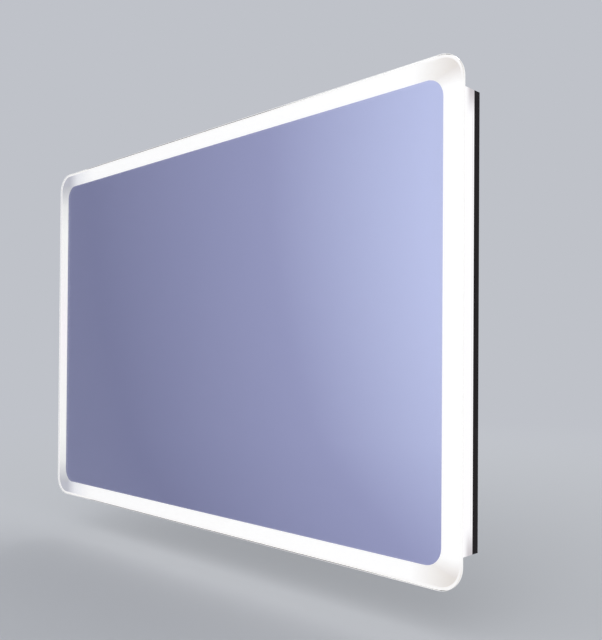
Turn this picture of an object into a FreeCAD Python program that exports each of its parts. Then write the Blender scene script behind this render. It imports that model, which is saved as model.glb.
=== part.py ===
import FreeCAD, Part
import math
import os
from types import SimpleNamespace

import Sketcher

# A wall-hung bathroom mirror with a lit border. Millimetres. +X runs along the mirror to the right
# as one faces it, +Z is up, and the glass faces -Y. The wall is the plane Y = 0, and the origin lies
# on it, midway between the two screw slots of the wall rail. "off" is a distance from the wall.

# Driving dimensions: name, millimetres (or a count), what it is.
DIMENSIONS = (
    ("glass_width", 900.0, "glass plate, across"),
    ("glass_height", 600.0, "glass plate, up"),
    ("glass_thick", 5.0, "float glass"),
    ("glass_corner", 31.0, "corner radius of the glass"),
    ("edge_bevel", 0.6, "polished arris on the glass edge"),
    ("overall_depth", 38.0, "wall to the front of the glass"),
    ("band_side", 27.5, "frosted border, left and right"),
    ("band_level", 24.5, "frosted border, top and bottom"),
    ("mirror_corner", 23.0, "corner radius of the silvered area"),
    ("coat_thick", 0.25, "silver coat with its paint, and the blasted layer"),
    ("coat_gap", 0.1, "between the silver coat and the blasted layer"),
    ("coat_seat", 0.05, "between the glass and its coat"),
    ("film_thick", 0.2, "safety film"),
    ("film_margin", 2.0, "silver left bare round the film"),
    ("tape_thick", 1.1, "foam bonding tape"),
    ("fit_gap", 0.2, "clearance round a part that drops into another"),
    ("seat_gap", 0.3, "clearance at a seat"),
    ("bar_inset", 2.0, "glass edge to the light bar"),
    ("bar_width", 28.0, "light bar, across its section"),
    ("corner_gap", 2.0, "between two light bars at a corner"),
    ("channel_wall", 1.6, "wall of the light-bar profile"),
    ("leg_height", 11.0, "outer leg of the profile, from its back"),
    ("flange_width", 8.0, "bonding flange of the profile"),
    ("ledge_width", 9.0, "ledge that carries the back plate"),
    ("cover_wall", 2.0, "opal cover"),
    ("cover_bevel", 1.0, "front corner of the opal cover"),
    ("clip_depth", 4.0, "how far the cover's foot reaches into the profile"),
    ("clip_thick", 1.4, "foot and inner hook of the cover"),
    ("clip_shoulder", 2.0, "thickened root of the foot"),
    ("hook_reach", 5.0, "inner hook of the cover"),
    ("groove_rise", 3.5, "profile to the cover's shadow groove"),
    ("groove_width", 0.9, "shadow groove"),
    ("groove_depth", 0.5, "shadow groove"),
    ("plug_thick", 2.0, "end plug of a light bar"),
    ("pcb_width", 10.0, "LED circuit strip"),
    ("pcb_thick", 0.6, "LED circuit strip with its adhesive"),
    ("pcb_margin", 3.0, "end plug to the circuit strip"),
    ("chip_length", 3.5, "LED emitter"),
    ("chip_width", 2.8, "LED emitter"),
    ("chip_height", 0.8, "LED emitter"),
    ("chip_pitch", 16.6, "LED spacing"),
    ("pad_thick", 1.0, "wall pad"),
    ("pad_radius", 9.0, "wall pad"),
    ("pad_inset", 30.0, "end of a light bar to the wall pad"),
    ("plate_thick", 1.2, "steel back plate"),
    ("plate_off", 12.0, "wall to the back plate"),
    ("vent_width", 3.0, "ventilation slot"),
    ("vent_length", 26.0, "ventilation slot"),
    ("vent_pitch", 9.0, "ventilation slot spacing"),
    ("vent_count", 9.0, "ventilation slots in a row"),
    ("vent_rise", 32.0, "driver to the ventilation slots"),
    ("screw_radius", 2.0, "plate screw"),
    ("screw_head", 3.8, "plate screw, head radius"),
    ("head_height", 2.2, "plate screw, head"),
    ("head_round", 0.7, "plate screw, edge of the head"),
    ("cross_width", 1.0, "cross recess"),
    ("cross_length", 4.2, "cross recess"),
    ("cross_depth", 1.3, "cross recess"),
    ("screw_grip", 3.0, "thread past the ledge"),
    ("screw_inset", 25.0, "end of a light bar to its first screw"),
    ("side_screws", 3.0, "plate screws in a side bar"),
    ("level_screws", 4.0, "plate screws in a top or bottom bar"),
    ("rail_drop", 110.0, "top edge of the glass down to the rail's slots"),
    ("rail_length", 480.0, "wall rail"),
    ("rail_thick", 1.5, "wall rail"),
    ("rail_skirt", 14.0, "slots down to the rail's lower edge"),
    ("rail_step", 7.5, "slots up to the rail's step"),
    ("rail_lip", 14.0, "upstand of the rail"),
    ("rail_stand", 4.0, "wall to the upstand"),
    ("slot_spacing", 400.0, "wall screw slots, centre to centre"),
    ("slot_width", 5.5, "wall screw slot"),
    ("slot_length", 12.0, "wall screw slot"),
    ("hook_span", 360.0, "hangers, centre to centre"),
    ("hook_width", 44.0, "hanger"),
    ("hook_thick", 1.5, "hanger"),
    ("hook_leg", 12.0, "hanger leg behind the rail"),
    ("hook_flange", 26.0, "hanger flange on the back plate"),
    ("rivet_radius", 2.0, "rivet shank"),
    ("rivet_head", 4.2, "rivet head radius"),
    ("rivet_height", 1.3, "rivet head"),
    ("rivet_inset", 10.0, "rivet to the hanger's side edge"),
    ("driver_length", 150.0, "LED driver"),
    ("driver_width", 44.0, "LED driver"),
    ("driver_height", 16.0, "LED driver with its cover"),
    ("driver_wall", 1.5, "driver case"),
    ("driver_x", -115.0, "centre of the driver, along the mirror"),
    ("service_z", 60.0, "centre of the driver and junction box, up the mirror"),
    ("board_lift", 1.2, "bosses under the driver board"),
    ("board_thick", 1.2, "driver board"),
    ("board_gap", 0.6, "driver board to its case"),
    ("boss_radius", 3.0, "board boss"),
    ("boss_inset", 6.0, "board boss to the case wall"),
    ("tab_length", 11.0, "driver fixing tab"),
    ("tab_thick", 2.0, "driver fixing tab"),
    ("small_screw", 1.4, "cover screw radius"),
    ("small_head", 2.6, "cover screw head radius"),
    ("small_height", 1.4, "cover screw head"),
    ("small_cross", 3.1, "cross recess of a cover screw"),
    ("small_recess", 0.8, "cross recess of a cover screw, deep"),
    ("small_grip", 6.0, "cover screw below its head"),
    ("post_size", 6.0, "square post that takes a cover screw"),
    ("box_length", 88.0, "junction box"),
    ("box_width", 56.0, "junction box"),
    ("box_height", 17.0, "junction box"),
    ("box_wall", 2.0, "junction box"),
    ("box_x", 104.0, "centre of the junction box, along the mirror"),
    ("window_margin", 10.0, "junction box edge to the window in the plate"),
    ("lid_overlap", 2.0, "junction lid beyond its box"),
    ("lid_thick", 1.6, "junction lid"),
    ("bore_radius", 4.5, "bore of the cable grommet"),
    ("grommet_neck", 6.5, "grommet in the lid's hole"),
    ("grommet_rim", 9.0, "grommet flange radius"),
    ("grommet_flange", 1.5, "grommet flange"),
    ("grommet_shift", -18.0, "grommet from the middle of the box"),
    ("terminal_length", 30.0, "terminal block"),
    ("terminal_width", 17.0, "terminal block"),
    ("terminal_height", 12.0, "terminal block"),
    ("terminal_shift", 18.0, "terminal block from the middle of the box"),
    ("terminal_ways", 3.0, "terminal block"),
    ("terminal_hole", 1.7, "terminal screw well radius"),
    ("mains_radius", 3.2, "mains lead"),
    ("lead_radius", 1.6, "LED lead"),
    ("lead_pitch", 9.0, "LED leads side by side"),
    ("lead_bend", 14.0, "bend of an LED lead"),
    ("drop_bend", 6.5, "bend of an LED lead down to its strip"),
    ("lead_clear", 0.3, "lead over the driver board"),
    ("lead_first", 26.0, "driver to the first turn of the LED leads"),
    ("lead_step", 9.0, "between the turns of two LED leads"),
    ("outlet_depth", 9.6, "output terminal on the driver board"),
    ("lead_drop", 28.0, "driver's lower edge to the right-hand lead"),
    ("clip_length", 9.0, "lead clip along the lead"),
    ("clip_wall", 1.8, "lead clip"),
    ("clip_rise", 20.0, "hanger rivets up to the lead clip above them"),
)
# What stands on the driver board: places from its middle, then half sizes or a radius, and height.
BLOCK_FIELDS = ("x", "z", "half_length", "half_width", "height")
BLOCKS = {
    "transformer": (0.0, 0.0, 13.0, 11.0, 9.0),
    "heat_sink": (-32.0, -6.0, 9.0, 1.5, 8.5),
    "regulator": (26.0, 12.0, 4.0, 3.0, 2.0),
    "bridge": (30.0, -12.0, 5.0, 2.0, 7.0),
}
CAN_FIELDS = ("x", "z", "radius", "height")
CANS = {
    "smoothing_can": (-24.0, 8.0, 5.0, 8.5),
    "input_can": (42.0, -10.0, 4.5, 8.0),
    "choke": (22.0, -4.0, 4.0, 6.0),
}
for fields, table in ((BLOCK_FIELDS, BLOCKS), (CAN_FIELDS, CANS)):
    for name, row in table.items():
        DIMENSIONS += tuple((f"{name}_{field}", value, f"{name.replace('_', ' ')} on the driver board")
                            for field, value in zip(fields, row))


class Size:
    """A length that carries its own spreadsheet formula."""

    def __init__(self, value, text):
        self.value = value
        self.text = text

    def _with(self, other, sign, value, flip=False):
        text = other.text if isinstance(other, Size) else repr(float(other))
        pair = (text, self.text) if flip else (self.text, text)
        return Size(value, f"({pair[0]} {sign} {pair[1]})")

    def __add__(self, other):
        return self._with(other, "+", self.value + number(other))

    def __radd__(self, other):
        return self._with(other, "+", number(other) + self.value, flip=True)

    def __sub__(self, other):
        return self._with(other, "-", self.value - number(other))

    def __rsub__(self, other):
        return self._with(other, "-", number(other) - self.value, flip=True)

    def __mul__(self, other):
        return self._with(other, "*", self.value * number(other))

    def __rmul__(self, other):
        return self._with(other, "*", number(other) * self.value, flip=True)

    def __truediv__(self, other):
        return self._with(other, "/", self.value / number(other))

    def __neg__(self):
        return self * -1


def number(size):
    """The plain value of a Size or a number."""
    return size.value if isinstance(size, Size) else float(size)


doc = FreeCAD.newDocument("LightedMirror")
sheet = doc.addObject("Spreadsheet::Sheet", "Dimensions")
for row, (alias, value, note) in enumerate(DIMENSIONS, start=1):
    sheet.set(f"A{row}", alias)
    sheet.set(f"B{row}", str(value))
    sheet.set(f"C{row}", note)
    sheet.setAlias(f"B{row}", alias)
doc.recompute()
d = SimpleNamespace(**{name: Size(value, f"Dimensions.{name}") for name, value, _ in DIMENSIONS})

ZERO = d.glass_width * 0
STRAIGHT_UP = FreeCAD.Vector(0, 0, 1)

# Places that follow from the driving dimensions. Heights are from the middle of the mirror.
half_width = d.glass_width / 2
half_height = d.glass_height / 2
glass_back = d.overall_depth - d.glass_thick
coat_back = glass_back - d.coat_seat - d.coat_thick
film_back = coat_back - d.film_thick
flange_front = film_back - d.tape_thick
bar_back = d.pad_thick
leg_top = bar_back + d.leg_height
cover_front = coat_back - d.seat_gap
plate_front = d.plate_off + d.plate_thick
bar_setback = d.bar_inset + d.bar_width + d.ledge_width + d.corner_gap
reach_x = half_width - d.bar_inset
reach_z = half_height - d.bar_inset
side_length = d.glass_height - 2 * bar_setback
level_length = d.glass_width - 2 * bar_setback
pcb_back = bar_back + d.channel_wall
pcb_front = pcb_back + d.pcb_thick
board_back = plate_front + d.driver_wall + d.board_lift
board_front = board_back + d.board_thick
case_front = plate_front + d.driver_height - d.driver_wall
lead_off = board_front + d.lead_radius + d.lead_clear
mains_off = board_front + d.mains_radius + d.lead_clear
ledge_middle = d.bar_width + d.ledge_width / 2
rail_seat = d.rail_step + d.rail_lip
hook_under = rail_seat + d.seat_gap
hook_top = hook_under + d.hook_thick
rail_rise = d.glass_height / 2 - d.rail_drop
rivet_rise = hook_top - d.hook_flange / 2 - d.hook_thick

LEAST_CUT = 1e-3
SAME_SPOT = 1e-4
VOLUME_MATCH = 0.01
CROSSES_AT_ONCE = 4
BOTTOM_CLIPS, LEFT_CLIPS, RIGHT_CLIPS = 3, 2, 4
parts = []


def bind(item, prop, size):
    """Ties a property to a formula of the sheet."""
    item.setExpression(prop, size.text)


def plane_of(body, role):
    """One of the body's own origin planes or axes."""
    return next(item for item in body.Origin.OriginFeatures if item.Role == role)


def new_body(label):
    """A body that is one sub-part, or a group of identical ones."""
    body = doc.addObject("PartDesign::Body", label)
    body.Label = label
    body.AllowCompound = True
    parts.append(body)
    return body


def new_sketch(body, plane="XZ_Plane", lift=None):
    """A sketch on an origin plane, or lifted off it along its normal."""
    sketch = body.newObject("Sketcher::SketchObject", f"{body.Label}_sketch")
    sketch.AttachmentSupport = [(plane_of(body, plane), "")]
    sketch.MapMode = "FlatFace"
    if lift is not None:
        sketch.AttachmentOffset = FreeCAD.Placement(FreeCAD.Vector(0, 0, lift.value), FreeCAD.Rotation())
        bind(sketch, "AttachmentOffset.Base.z", lift)
    return sketch


def constrain(sketch, rules):
    """Adds (kind, arguments, size) rules at once and ties the sized ones to the sheet."""
    made = [Sketcher.Constraint(kind, *where, *([] if size is None else [size.value]))
            for kind, where, size in rules]
    indices = sketch.addConstraint(made)
    for index, (_, _, size) in zip(indices, rules):
        if size is not None:
            bind(sketch, f"Constraints[{index}]", size)


def fixed_at(shape, point, x, y):
    """The two rules that hold a point at its place from the sketch's origin."""
    return [("DistanceX", (-1, 1, shape, point), x), ("DistanceY", (-1, 1, shape, point), y)]


def draw_polygon(sketch, corners):
    """A closed outline with straight sides."""
    first = sketch.GeometryCount
    ends = [FreeCAD.Vector(x.value, y.value, 0) for x, y in corners]
    sketch.addGeometry([Part.LineSegment(a, b) for a, b in zip(ends, ends[1:] + ends[:1])])
    rules = []
    for step, (x, y) in enumerate(corners):
        following = first + (step + 1) % len(corners)
        rules.append(("Coincident", (first + step, 2, following, 1), None))
        rules += fixed_at(first + step, 1, x, y)
    constrain(sketch, rules)


def draw_box(sketch, x, y, half_x, half_y):
    """A rectangle about its middle."""
    left, right, low, high = x - half_x, x + half_x, y - half_y, y + half_y
    draw_polygon(sketch, [(left, low), (right, low), (right, high), (left, high)])


def draw_circle(sketch, x, y, radius):
    """A circle."""
    shape = sketch.GeometryCount
    centre = FreeCAD.Vector(x.value, y.value, 0)
    sketch.addGeometry(Part.Circle(centre, STRAIGHT_UP, radius.value))
    constrain(sketch, fixed_at(shape, 3, x, y) + [("Radius", (shape,), radius)])


def draw_rounded(sketch, x, y, half_x, half_y, radius):
    """A rectangle about its middle with round corners."""
    first = sketch.GeometryCount
    signs = ((1, 1), (-1, 1), (-1, -1), (1, -1))
    centres = [(x + sx * (half_x - radius), y + sy * (half_y - radius)) for sx, sy in signs]
    spots = [FreeCAD.Vector(cx.value, cy.value, 0) for cx, cy in centres]
    quarter = math.pi / 2
    arcs = [Part.ArcOfCircle(Part.Circle(spot, STRAIGHT_UP, radius.value), step * quarter,
                             (step + 1) * quarter)
            for step, spot in enumerate(spots)]
    lines = [Part.LineSegment(a.EndPoint, b.StartPoint) for a, b in zip(arcs, arcs[1:] + arcs[:1])]
    sketch.addGeometry([shape for pair in zip(arcs, lines) for shape in pair])
    rules = [("Radius", (first,), radius)]
    for step, (cx, cy) in enumerate(centres):
        arc, line, following = first + 2 * step, first + 2 * step + 1, first + (2 * step + 2) % 8
        rules += fixed_at(arc, 3, cx, cy)
        rules += [("Tangent", (arc, 2, line, 1), None), ("Tangent", (line, 2, following, 1), None)]
        if step:
            rules.append(("Equal", (first, arc), None))
    constrain(sketch, rules)


def draw_slot(sketch, x, y, half_length, radius, upright=False):
    """A slot with round ends; half_length reaches from its middle to its tip."""
    first = sketch.GeometryCount
    shift = half_length - radius
    run = (ZERO, shift) if upright else (shift, ZERO)
    start = 0 if upright else -math.pi / 2
    centres = [(x + run[0], y + run[1]), (x - run[0], y - run[1])]
    arcs = [Part.ArcOfCircle(Part.Circle(FreeCAD.Vector(cx.value, cy.value, 0), STRAIGHT_UP, radius.value),
                             start + turn, start + turn + math.pi)
            for (cx, cy), turn in zip(centres, (0, math.pi))]
    lines = [Part.LineSegment(a.EndPoint, b.StartPoint) for a, b in zip(arcs, arcs[::-1])]
    sketch.addGeometry([arcs[0], lines[0], arcs[1], lines[1]])
    rules = [("Radius", (first,), radius), ("Equal", (first, first + 2), None)]
    for step, (cx, cy) in enumerate(centres):
        arc, line, following = first + 2 * step, first + 2 * step + 1, first + (2 * step + 2) % 4
        rules += fixed_at(arc, 3, cx, cy)
        rules += [("Tangent", (arc, 2, line, 1), None), ("Tangent", (line, 2, following, 1), None)]
    constrain(sketch, rules)


def pad(body, sketch, length, backwards=False):
    """Extrudes a sketch along its normal: forward, away from the wall, on the XZ plane."""
    feature = body.newObject("PartDesign::Pad", "Pad")
    feature.Profile = sketch
    feature.Length = length.value
    bind(feature, "Length", length)
    feature.Reversed = backwards
    return feature


def pocket(body, sketch, depth=None, backwards=True):
    """Cuts a sketch into the body, through all of it where no depth is given."""
    doc.recompute()
    before = body.Shape.Volume
    feature = body.newObject("PartDesign::Pocket", "Pocket")
    feature.Profile = sketch
    feature.Reversed = backwards
    if depth is None:
        feature.Type = "ThroughAll"
    else:
        feature.Length = depth.value
        bind(feature, "Length", depth)
    doc.recompute()
    if body.Shape.Volume > before - LEAST_CUT:
        raise ValueError(f"a pocket of {body.Label} cuts nothing")


def soften(body, kind, size, chosen):
    """Fillets or chamfers the edges that chosen picks."""
    doc.recompute()
    base = body.Tip
    names = [f"Edge{index}" for index, edge in enumerate(base.Shape.Edges, start=1) if chosen(edge)]
    if not names:
        raise ValueError(f"{body.Label} has no edge to soften")
    feature = body.newObject(f"PartDesign::{kind}", kind)
    feature.Base = (base, names)
    prop = "Radius" if kind == "Fillet" else "Size"
    setattr(feature, prop, size.value)
    bind(feature, prop, size)


def repeat(body, axis, pitch, count):
    """Repeats the body's last feature along one of its own axes."""
    feature = body.Tip
    row = body.newObject("PartDesign::LinearPattern", "Row")
    row.Originals = [feature]
    row.Direction = (plane_of(body, axis), [""])
    row.Mode = "Spacing"
    bind(row, "Offset", pitch)
    bind(row, "Occurrences", count)
    body.Tip = row


def lies_at(edge, y):
    """True if the whole edge lies in the plane at y."""
    box = edge.BoundBox
    return abs(box.YMin - y) < SAME_SPOT and abs(box.YMax - y) < SAME_SPOT


def place(item, x, off, z, turn=None):
    """Puts a sub-part at its place: x along the mirror, off from the wall, z from the mirror's middle."""
    spot = (x, -off, z - rail_rise)
    item.Placement = FreeCAD.Placement(FreeCAD.Vector(*(size.value for size in spot)),
                                       turn or FreeCAD.Rotation())
    for axis, size in zip("xyz", spot):
        bind(item, f"Placement.Base.{axis}", size)


def whole(size):
    """The size rounded down to a whole number."""
    return Size(math.floor(size.value), f"floor({size.text})")


def along(first, last, count):
    """Places spread evenly from first to last, the outer ones half a gap in."""
    return [first + (last - first) * ((2 * step + 1) / (2 * count)) for step in range(count)]


def spread(length, inset, count):
    """Places of evenly spread points along a length, from its middle."""
    steps = int(count.value) - 1
    return [(inset - length / 2) + (length - 2 * inset) * (step / steps) for step in range(steps + 1)]


def plate_part(label, draw, off, thick, x=ZERO, z=ZERO):
    """A flat piece: what draw puts in the sketch, extruded forward from off."""
    body = new_body(label)
    sketch = new_sketch(body)
    draw(sketch)
    pad(body, sketch, thick)
    place(body, x, off, z)
    return body


def draw_cross(sketch, x, y, half_length, half_width):
    """The outline of a cross recess."""
    quadrants = ((1, 1), (-1, 1), (-1, -1), (1, -1))
    corners = []
    for turn, (sx, sy) in enumerate(quadrants):
        tips = [(half_length, half_width), (half_width, half_width), (half_width, half_length)]
        for dx, dy in (tips if turn % 2 == 0 else tips[::-1]):
            corners.append((x + sx * dx, y + sy * dy))
    draw_polygon(sketch, corners)


def screws(label, centres, off, sizes, x=ZERO, z=ZERO, facing_front=False):
    """Pan-head screws with a cross recess; off is the face that the heads sit on."""
    body = new_body(label)
    for radius, length in ((sizes.head, sizes.height), (sizes.shank, sizes.height + sizes.grip)):
        sketch = new_sketch(body)
        for cx, cz in centres:
            draw_circle(sketch, cx, cz, radius)
        pad(body, sketch, length, backwards=facing_front)
    soften(body, "Fillet", sizes.rounding, lambda edge: lies_at(edge, 0))
    for first in range(0, len(centres), CROSSES_AT_ONCE):
        sketch = new_sketch(body)
        for cx, cz in centres[first:first + CROSSES_AT_ONCE]:
            draw_cross(sketch, cx, cz, sizes.cross / 2, d.cross_width / 2)
        pocket(body, sketch, sizes.recess, backwards=not facing_front)
    place(body, x, off + sizes.height if facing_front else off - sizes.height, z)
    return body


def screw_sizes(grip, small=False):
    """Sizes of a plate screw or of a small cover screw, with the length below its head."""
    if small:
        return SimpleNamespace(head=d.small_head, shank=d.small_screw, height=d.small_height, grip=grip,
                               rounding=d.small_height / 2, cross=d.small_cross,
                               recess=d.small_recess)
    return SimpleNamespace(head=d.screw_head, shank=d.screw_radius, height=d.head_height, grip=grip,
                           rounding=d.head_round, cross=d.cross_length, recess=d.cross_depth)


class Bar:
    """One of the four light bars. Its section is drawn with u outwards from the middle of the mirror
    (0 at the bar's outer face) and v away from the wall; w runs along it."""

    def __init__(self, side, angle, reach, length, screw_count):
        self.side = side
        self.reach = reach
        self.length = length
        self.turn = FreeCAD.Rotation(FreeCAD.Vector(0, 1, 0), angle)
        self.turn = self.turn * FreeCAD.Rotation(FreeCAD.Vector(1, 0, 0), 180)
        outward = self.turn.multVec(FreeCAD.Vector(1, 0, 0))
        along = self.turn.multVec(STRAIGHT_UP)
        self.out_x, self.out_z = round(outward.x), round(outward.z)
        self.run_x, self.run_z = round(along.x), round(along.z)
        self.screw_runs = spread(length, d.screw_inset, screw_count)

    def spot(self, u, run):
        """x and z of a point of the bar: u from its outer face, run from its middle."""
        reach = self.reach + u
        return (reach * self.out_x + run * self.run_x, reach * self.out_z + run * self.run_z)

    def place(self, body, off, start):
        """Puts a piece on the bar, with its own origin start along the bar from its end."""
        x, z = self.spot(ZERO, start - self.length / 2)
        place(body, x, off, z, self.turn)

    def run_at(self, x, z):
        """How far along the bar, from its end, the point x, z lies."""
        return self.length / 2 + x * self.run_x + z * self.run_z


BARS = {
    "top": Bar("top", -90, reach_z, level_length, d.level_screws),
    "bottom": Bar("bottom", 90, reach_z, level_length, d.level_screws),
    "left": Bar("left", 180, reach_x, side_length, d.side_screws),
    "right": Bar("right", 0, reach_x, side_length, d.side_screws),
}


# The glass, its silver coat, the blasted border and the safety film.
def make_glass():
    body = new_body("glass_plate")
    sketch = new_sketch(body)
    draw_rounded(sketch, ZERO, ZERO, half_width, half_height, d.glass_corner)
    pad(body, sketch, d.glass_thick)
    faces = (0, -d.glass_thick.value)
    soften(body, "Chamfer", d.edge_bevel, lambda edge: any(lies_at(edge, y) for y in faces))
    place(body, ZERO, glass_back, ZERO)

    silver_x, silver_z = half_width - d.band_side, half_height - d.band_level
    plate_part("mirror_silvering",
               lambda sketch: draw_rounded(sketch, ZERO, ZERO, silver_x, silver_z, d.mirror_corner),
               coat_back, d.coat_thick)

    def draw_band(sketch):
        draw_rounded(sketch, ZERO, ZERO, half_width - d.edge_bevel, half_height - d.edge_bevel,
                     d.glass_corner - d.edge_bevel)
        draw_rounded(sketch, ZERO, ZERO, silver_x + d.coat_gap, silver_z + d.coat_gap,
                     d.mirror_corner + d.coat_gap)

    plate_part("frosted_band", draw_band, coat_back, d.coat_thick)
    plate_part("safety_film",
               lambda sketch: draw_rounded(sketch, ZERO, ZERO, silver_x - d.film_margin,
                                           silver_z - d.film_margin, d.mirror_corner - d.film_margin),
               film_back, d.film_thick)


# The extruded profile: outer leg, web, inner leg with the bonding flange, and the ledge for the plate.
def make_channel(bar, lead_run):
    wall, width = d.channel_wall, d.bar_width
    ledge_front = plate_front + wall
    body = new_body(f"channel_{bar.side}")
    sketch = new_sketch(body, "XY_Plane")
    draw_polygon(sketch, [
        (ZERO, bar_back), (ZERO, leg_top), (-wall, leg_top), (-wall, bar_back + wall),
        (wall - width, bar_back + wall), (wall - width, flange_front),
        (-width - d.flange_width, flange_front), (-width - d.flange_width, flange_front - wall),
        (-width, flange_front - wall), (-width, ledge_front),
        (-width - d.ledge_width, ledge_front), (-width - d.ledge_width, plate_front),
        (-width, plate_front), (-width, bar_back),
    ])
    pad(body, sketch, bar.length)
    holes = new_sketch(body)
    for run in bar.screw_runs:
        draw_circle(holes, -ledge_middle, bar.length / 2 + run, d.screw_radius + d.fit_gap)
    pocket(body, holes, ledge_front + d.seat_gap, backwards=False)
    passage = new_sketch(body, "YZ_Plane")
    draw_circle(passage, lead_off, lead_run, d.lead_radius + d.fit_gap)
    pocket(body, passage, backwards=False)
    bar.place(body, ZERO, ZERO)


# The opal cover: a front wall behind the frosted border and a side wall that clips into the profile.
def make_diffuser(bar):
    skin, inner = d.cover_wall, d.channel_wall + d.fit_gap - d.bar_width
    foot = d.channel_wall + d.fit_gap
    seat = leg_top + d.fit_gap
    groove = leg_top + d.groove_rise
    body = new_body(f"diffuser_{bar.side}")
    sketch = new_sketch(body, "XY_Plane")
    draw_polygon(sketch, [
        (ZERO, seat), (ZERO, groove - d.groove_width / 2), (-d.groove_depth, groove),
        (ZERO, groove + d.groove_width / 2), (ZERO, cover_front - d.cover_bevel),
        (-d.cover_bevel, cover_front), (inner, cover_front), (inner, cover_front - d.hook_reach),
        (inner + d.clip_thick, cover_front - d.hook_reach), (inner + d.clip_thick, cover_front - skin),
        (-skin, cover_front - skin), (-skin, leg_top + d.clip_shoulder),
        (-foot - d.clip_thick, leg_top + d.clip_shoulder), (-foot - d.clip_thick, leg_top - d.clip_depth),
        (-foot, leg_top - d.clip_depth), (-foot, seat),
    ])
    pad(body, sketch, bar.length)
    bar.place(body, ZERO, ZERO)


# The circuit strip on the web of the profile and its row of emitters.
def make_led_strip(bar):
    start = d.plug_thick + d.pcb_margin
    length = bar.length - 2 * start
    middle = -d.bar_width / 2
    board = new_body(f"led_strip_{bar.side}")
    sketch = new_sketch(board, "XY_Plane")
    draw_box(sketch, middle, d.pcb_thick / 2, d.pcb_width / 2, d.pcb_thick / 2)
    pad(board, sketch, length)
    bar.place(board, pcb_back, start)

    gaps = whole((length - d.chip_pitch) / d.chip_pitch)
    chips = new_body(f"led_chips_{bar.side}")
    sketch = new_sketch(chips)
    draw_box(sketch, middle, ZERO, d.chip_width / 2, d.chip_length / 2)
    pad(chips, sketch, d.chip_height, backwards=True)
    repeat(chips, "Z_Axis", d.chip_pitch, gaps + 1)
    bar.place(chips, pcb_front, (bar.length - gaps * d.chip_pitch) / 2)


# White plugs that close both ends of each bar, and the foam tape on the bonding flanges.
def make_bar_trim():
    inner = d.bar_width - d.channel_wall - d.clip_thick - 2 * d.fit_gap
    outer = d.channel_wall + 2 * d.fit_gap + d.clip_thick
    half_deep, middle = (inner - outer) / 2, -(inner + outer) / 2
    low = bar_back + d.channel_wall + d.fit_gap
    high = cover_front - d.cover_wall - d.fit_gap

    def draw_plugs(sketch):
        for bar in BARS.values():
            for end in (-1, 1):
                x, z = bar.spot(middle, end * (bar.length - d.plug_thick) / 2)
                half_x = half_deep if bar.out_x else d.plug_thick / 2
                half_z = half_deep if bar.out_z else d.plug_thick / 2
                draw_box(sketch, x, z, half_x, half_z)

    plate_part("end_plugs", draw_plugs, low, high - low)

    def draw_tapes(sketch):
        for bar in BARS.values():
            x, z = bar.spot(-d.bar_width - d.flange_width / 2, ZERO)
            half_wide, half_long = d.flange_width / 2 - d.fit_gap, bar.length / 2 - d.plug_thick
            half_x = half_wide if bar.out_x else half_long
            half_z = half_wide if bar.out_z else half_long
            draw_box(sketch, x, z, half_x, half_z)

    plate_part("bonding_tape", draw_tapes, flange_front, d.tape_thick)

    def draw_pads(sketch):
        for side in ("left", "right"):
            for end in (-1, 1):
                bar = BARS[side]
                x, z = bar.spot(-d.bar_width / 2, end * (bar.length / 2 - d.pad_inset))
                draw_circle(sketch, x, z, d.pad_radius)

    plate_part("wall_pads", draw_pads, ZERO, d.pad_thick)


# Service places on the back plate.
driver_left = d.driver_x - d.driver_length / 2
lead_levels = [d.service_z + d.lead_pitch * step for step in (1.5, 0.5, -0.5, -1.5)]
turn_top = driver_left - d.lead_first
turn_right = turn_top
turn_bottom = turn_right - d.lead_step
right_level = d.service_z - d.driver_width / 2 - d.lead_drop
strip_reach = d.bar_width / 2 + d.pcb_width / 2 - d.lead_radius
mains_z = d.service_z + d.terminal_width / 2 + d.box_wall
grommet_x = d.box_x + d.grommet_shift
grommet_z = d.service_z - d.grommet_rim
tab_rise = d.driver_width / 2 + d.tab_length / 2
tab_shift = d.driver_length / 4
tab_spots = [(d.driver_x + tab_shift * side, d.service_z + tab_rise * side) for side in (-1, 1)]
lid_spots = [(d.box_x + (d.box_length / 2 - d.box_wall - d.post_size / 2) * sx,
              d.service_z + (d.box_width / 2 - d.box_wall - d.post_size / 2) * sz)
             for sx, sz in ((1, 1), (-1, 1), (-1, -1), (1, -1))]
hook_spots = {"left": -d.hook_span / 2, "right": d.hook_span / 2}
rivet_z = rail_rise + rivet_rise
rivet_spots = [(x + (d.hook_width / 2 - d.rivet_inset) * side, rivet_z)
               for x in hook_spots.values() for side in (-1, 1)]
screw_spots = [bar.spot(-ledge_middle, run) for bar in BARS.values() for run in bar.screw_runs]


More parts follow.
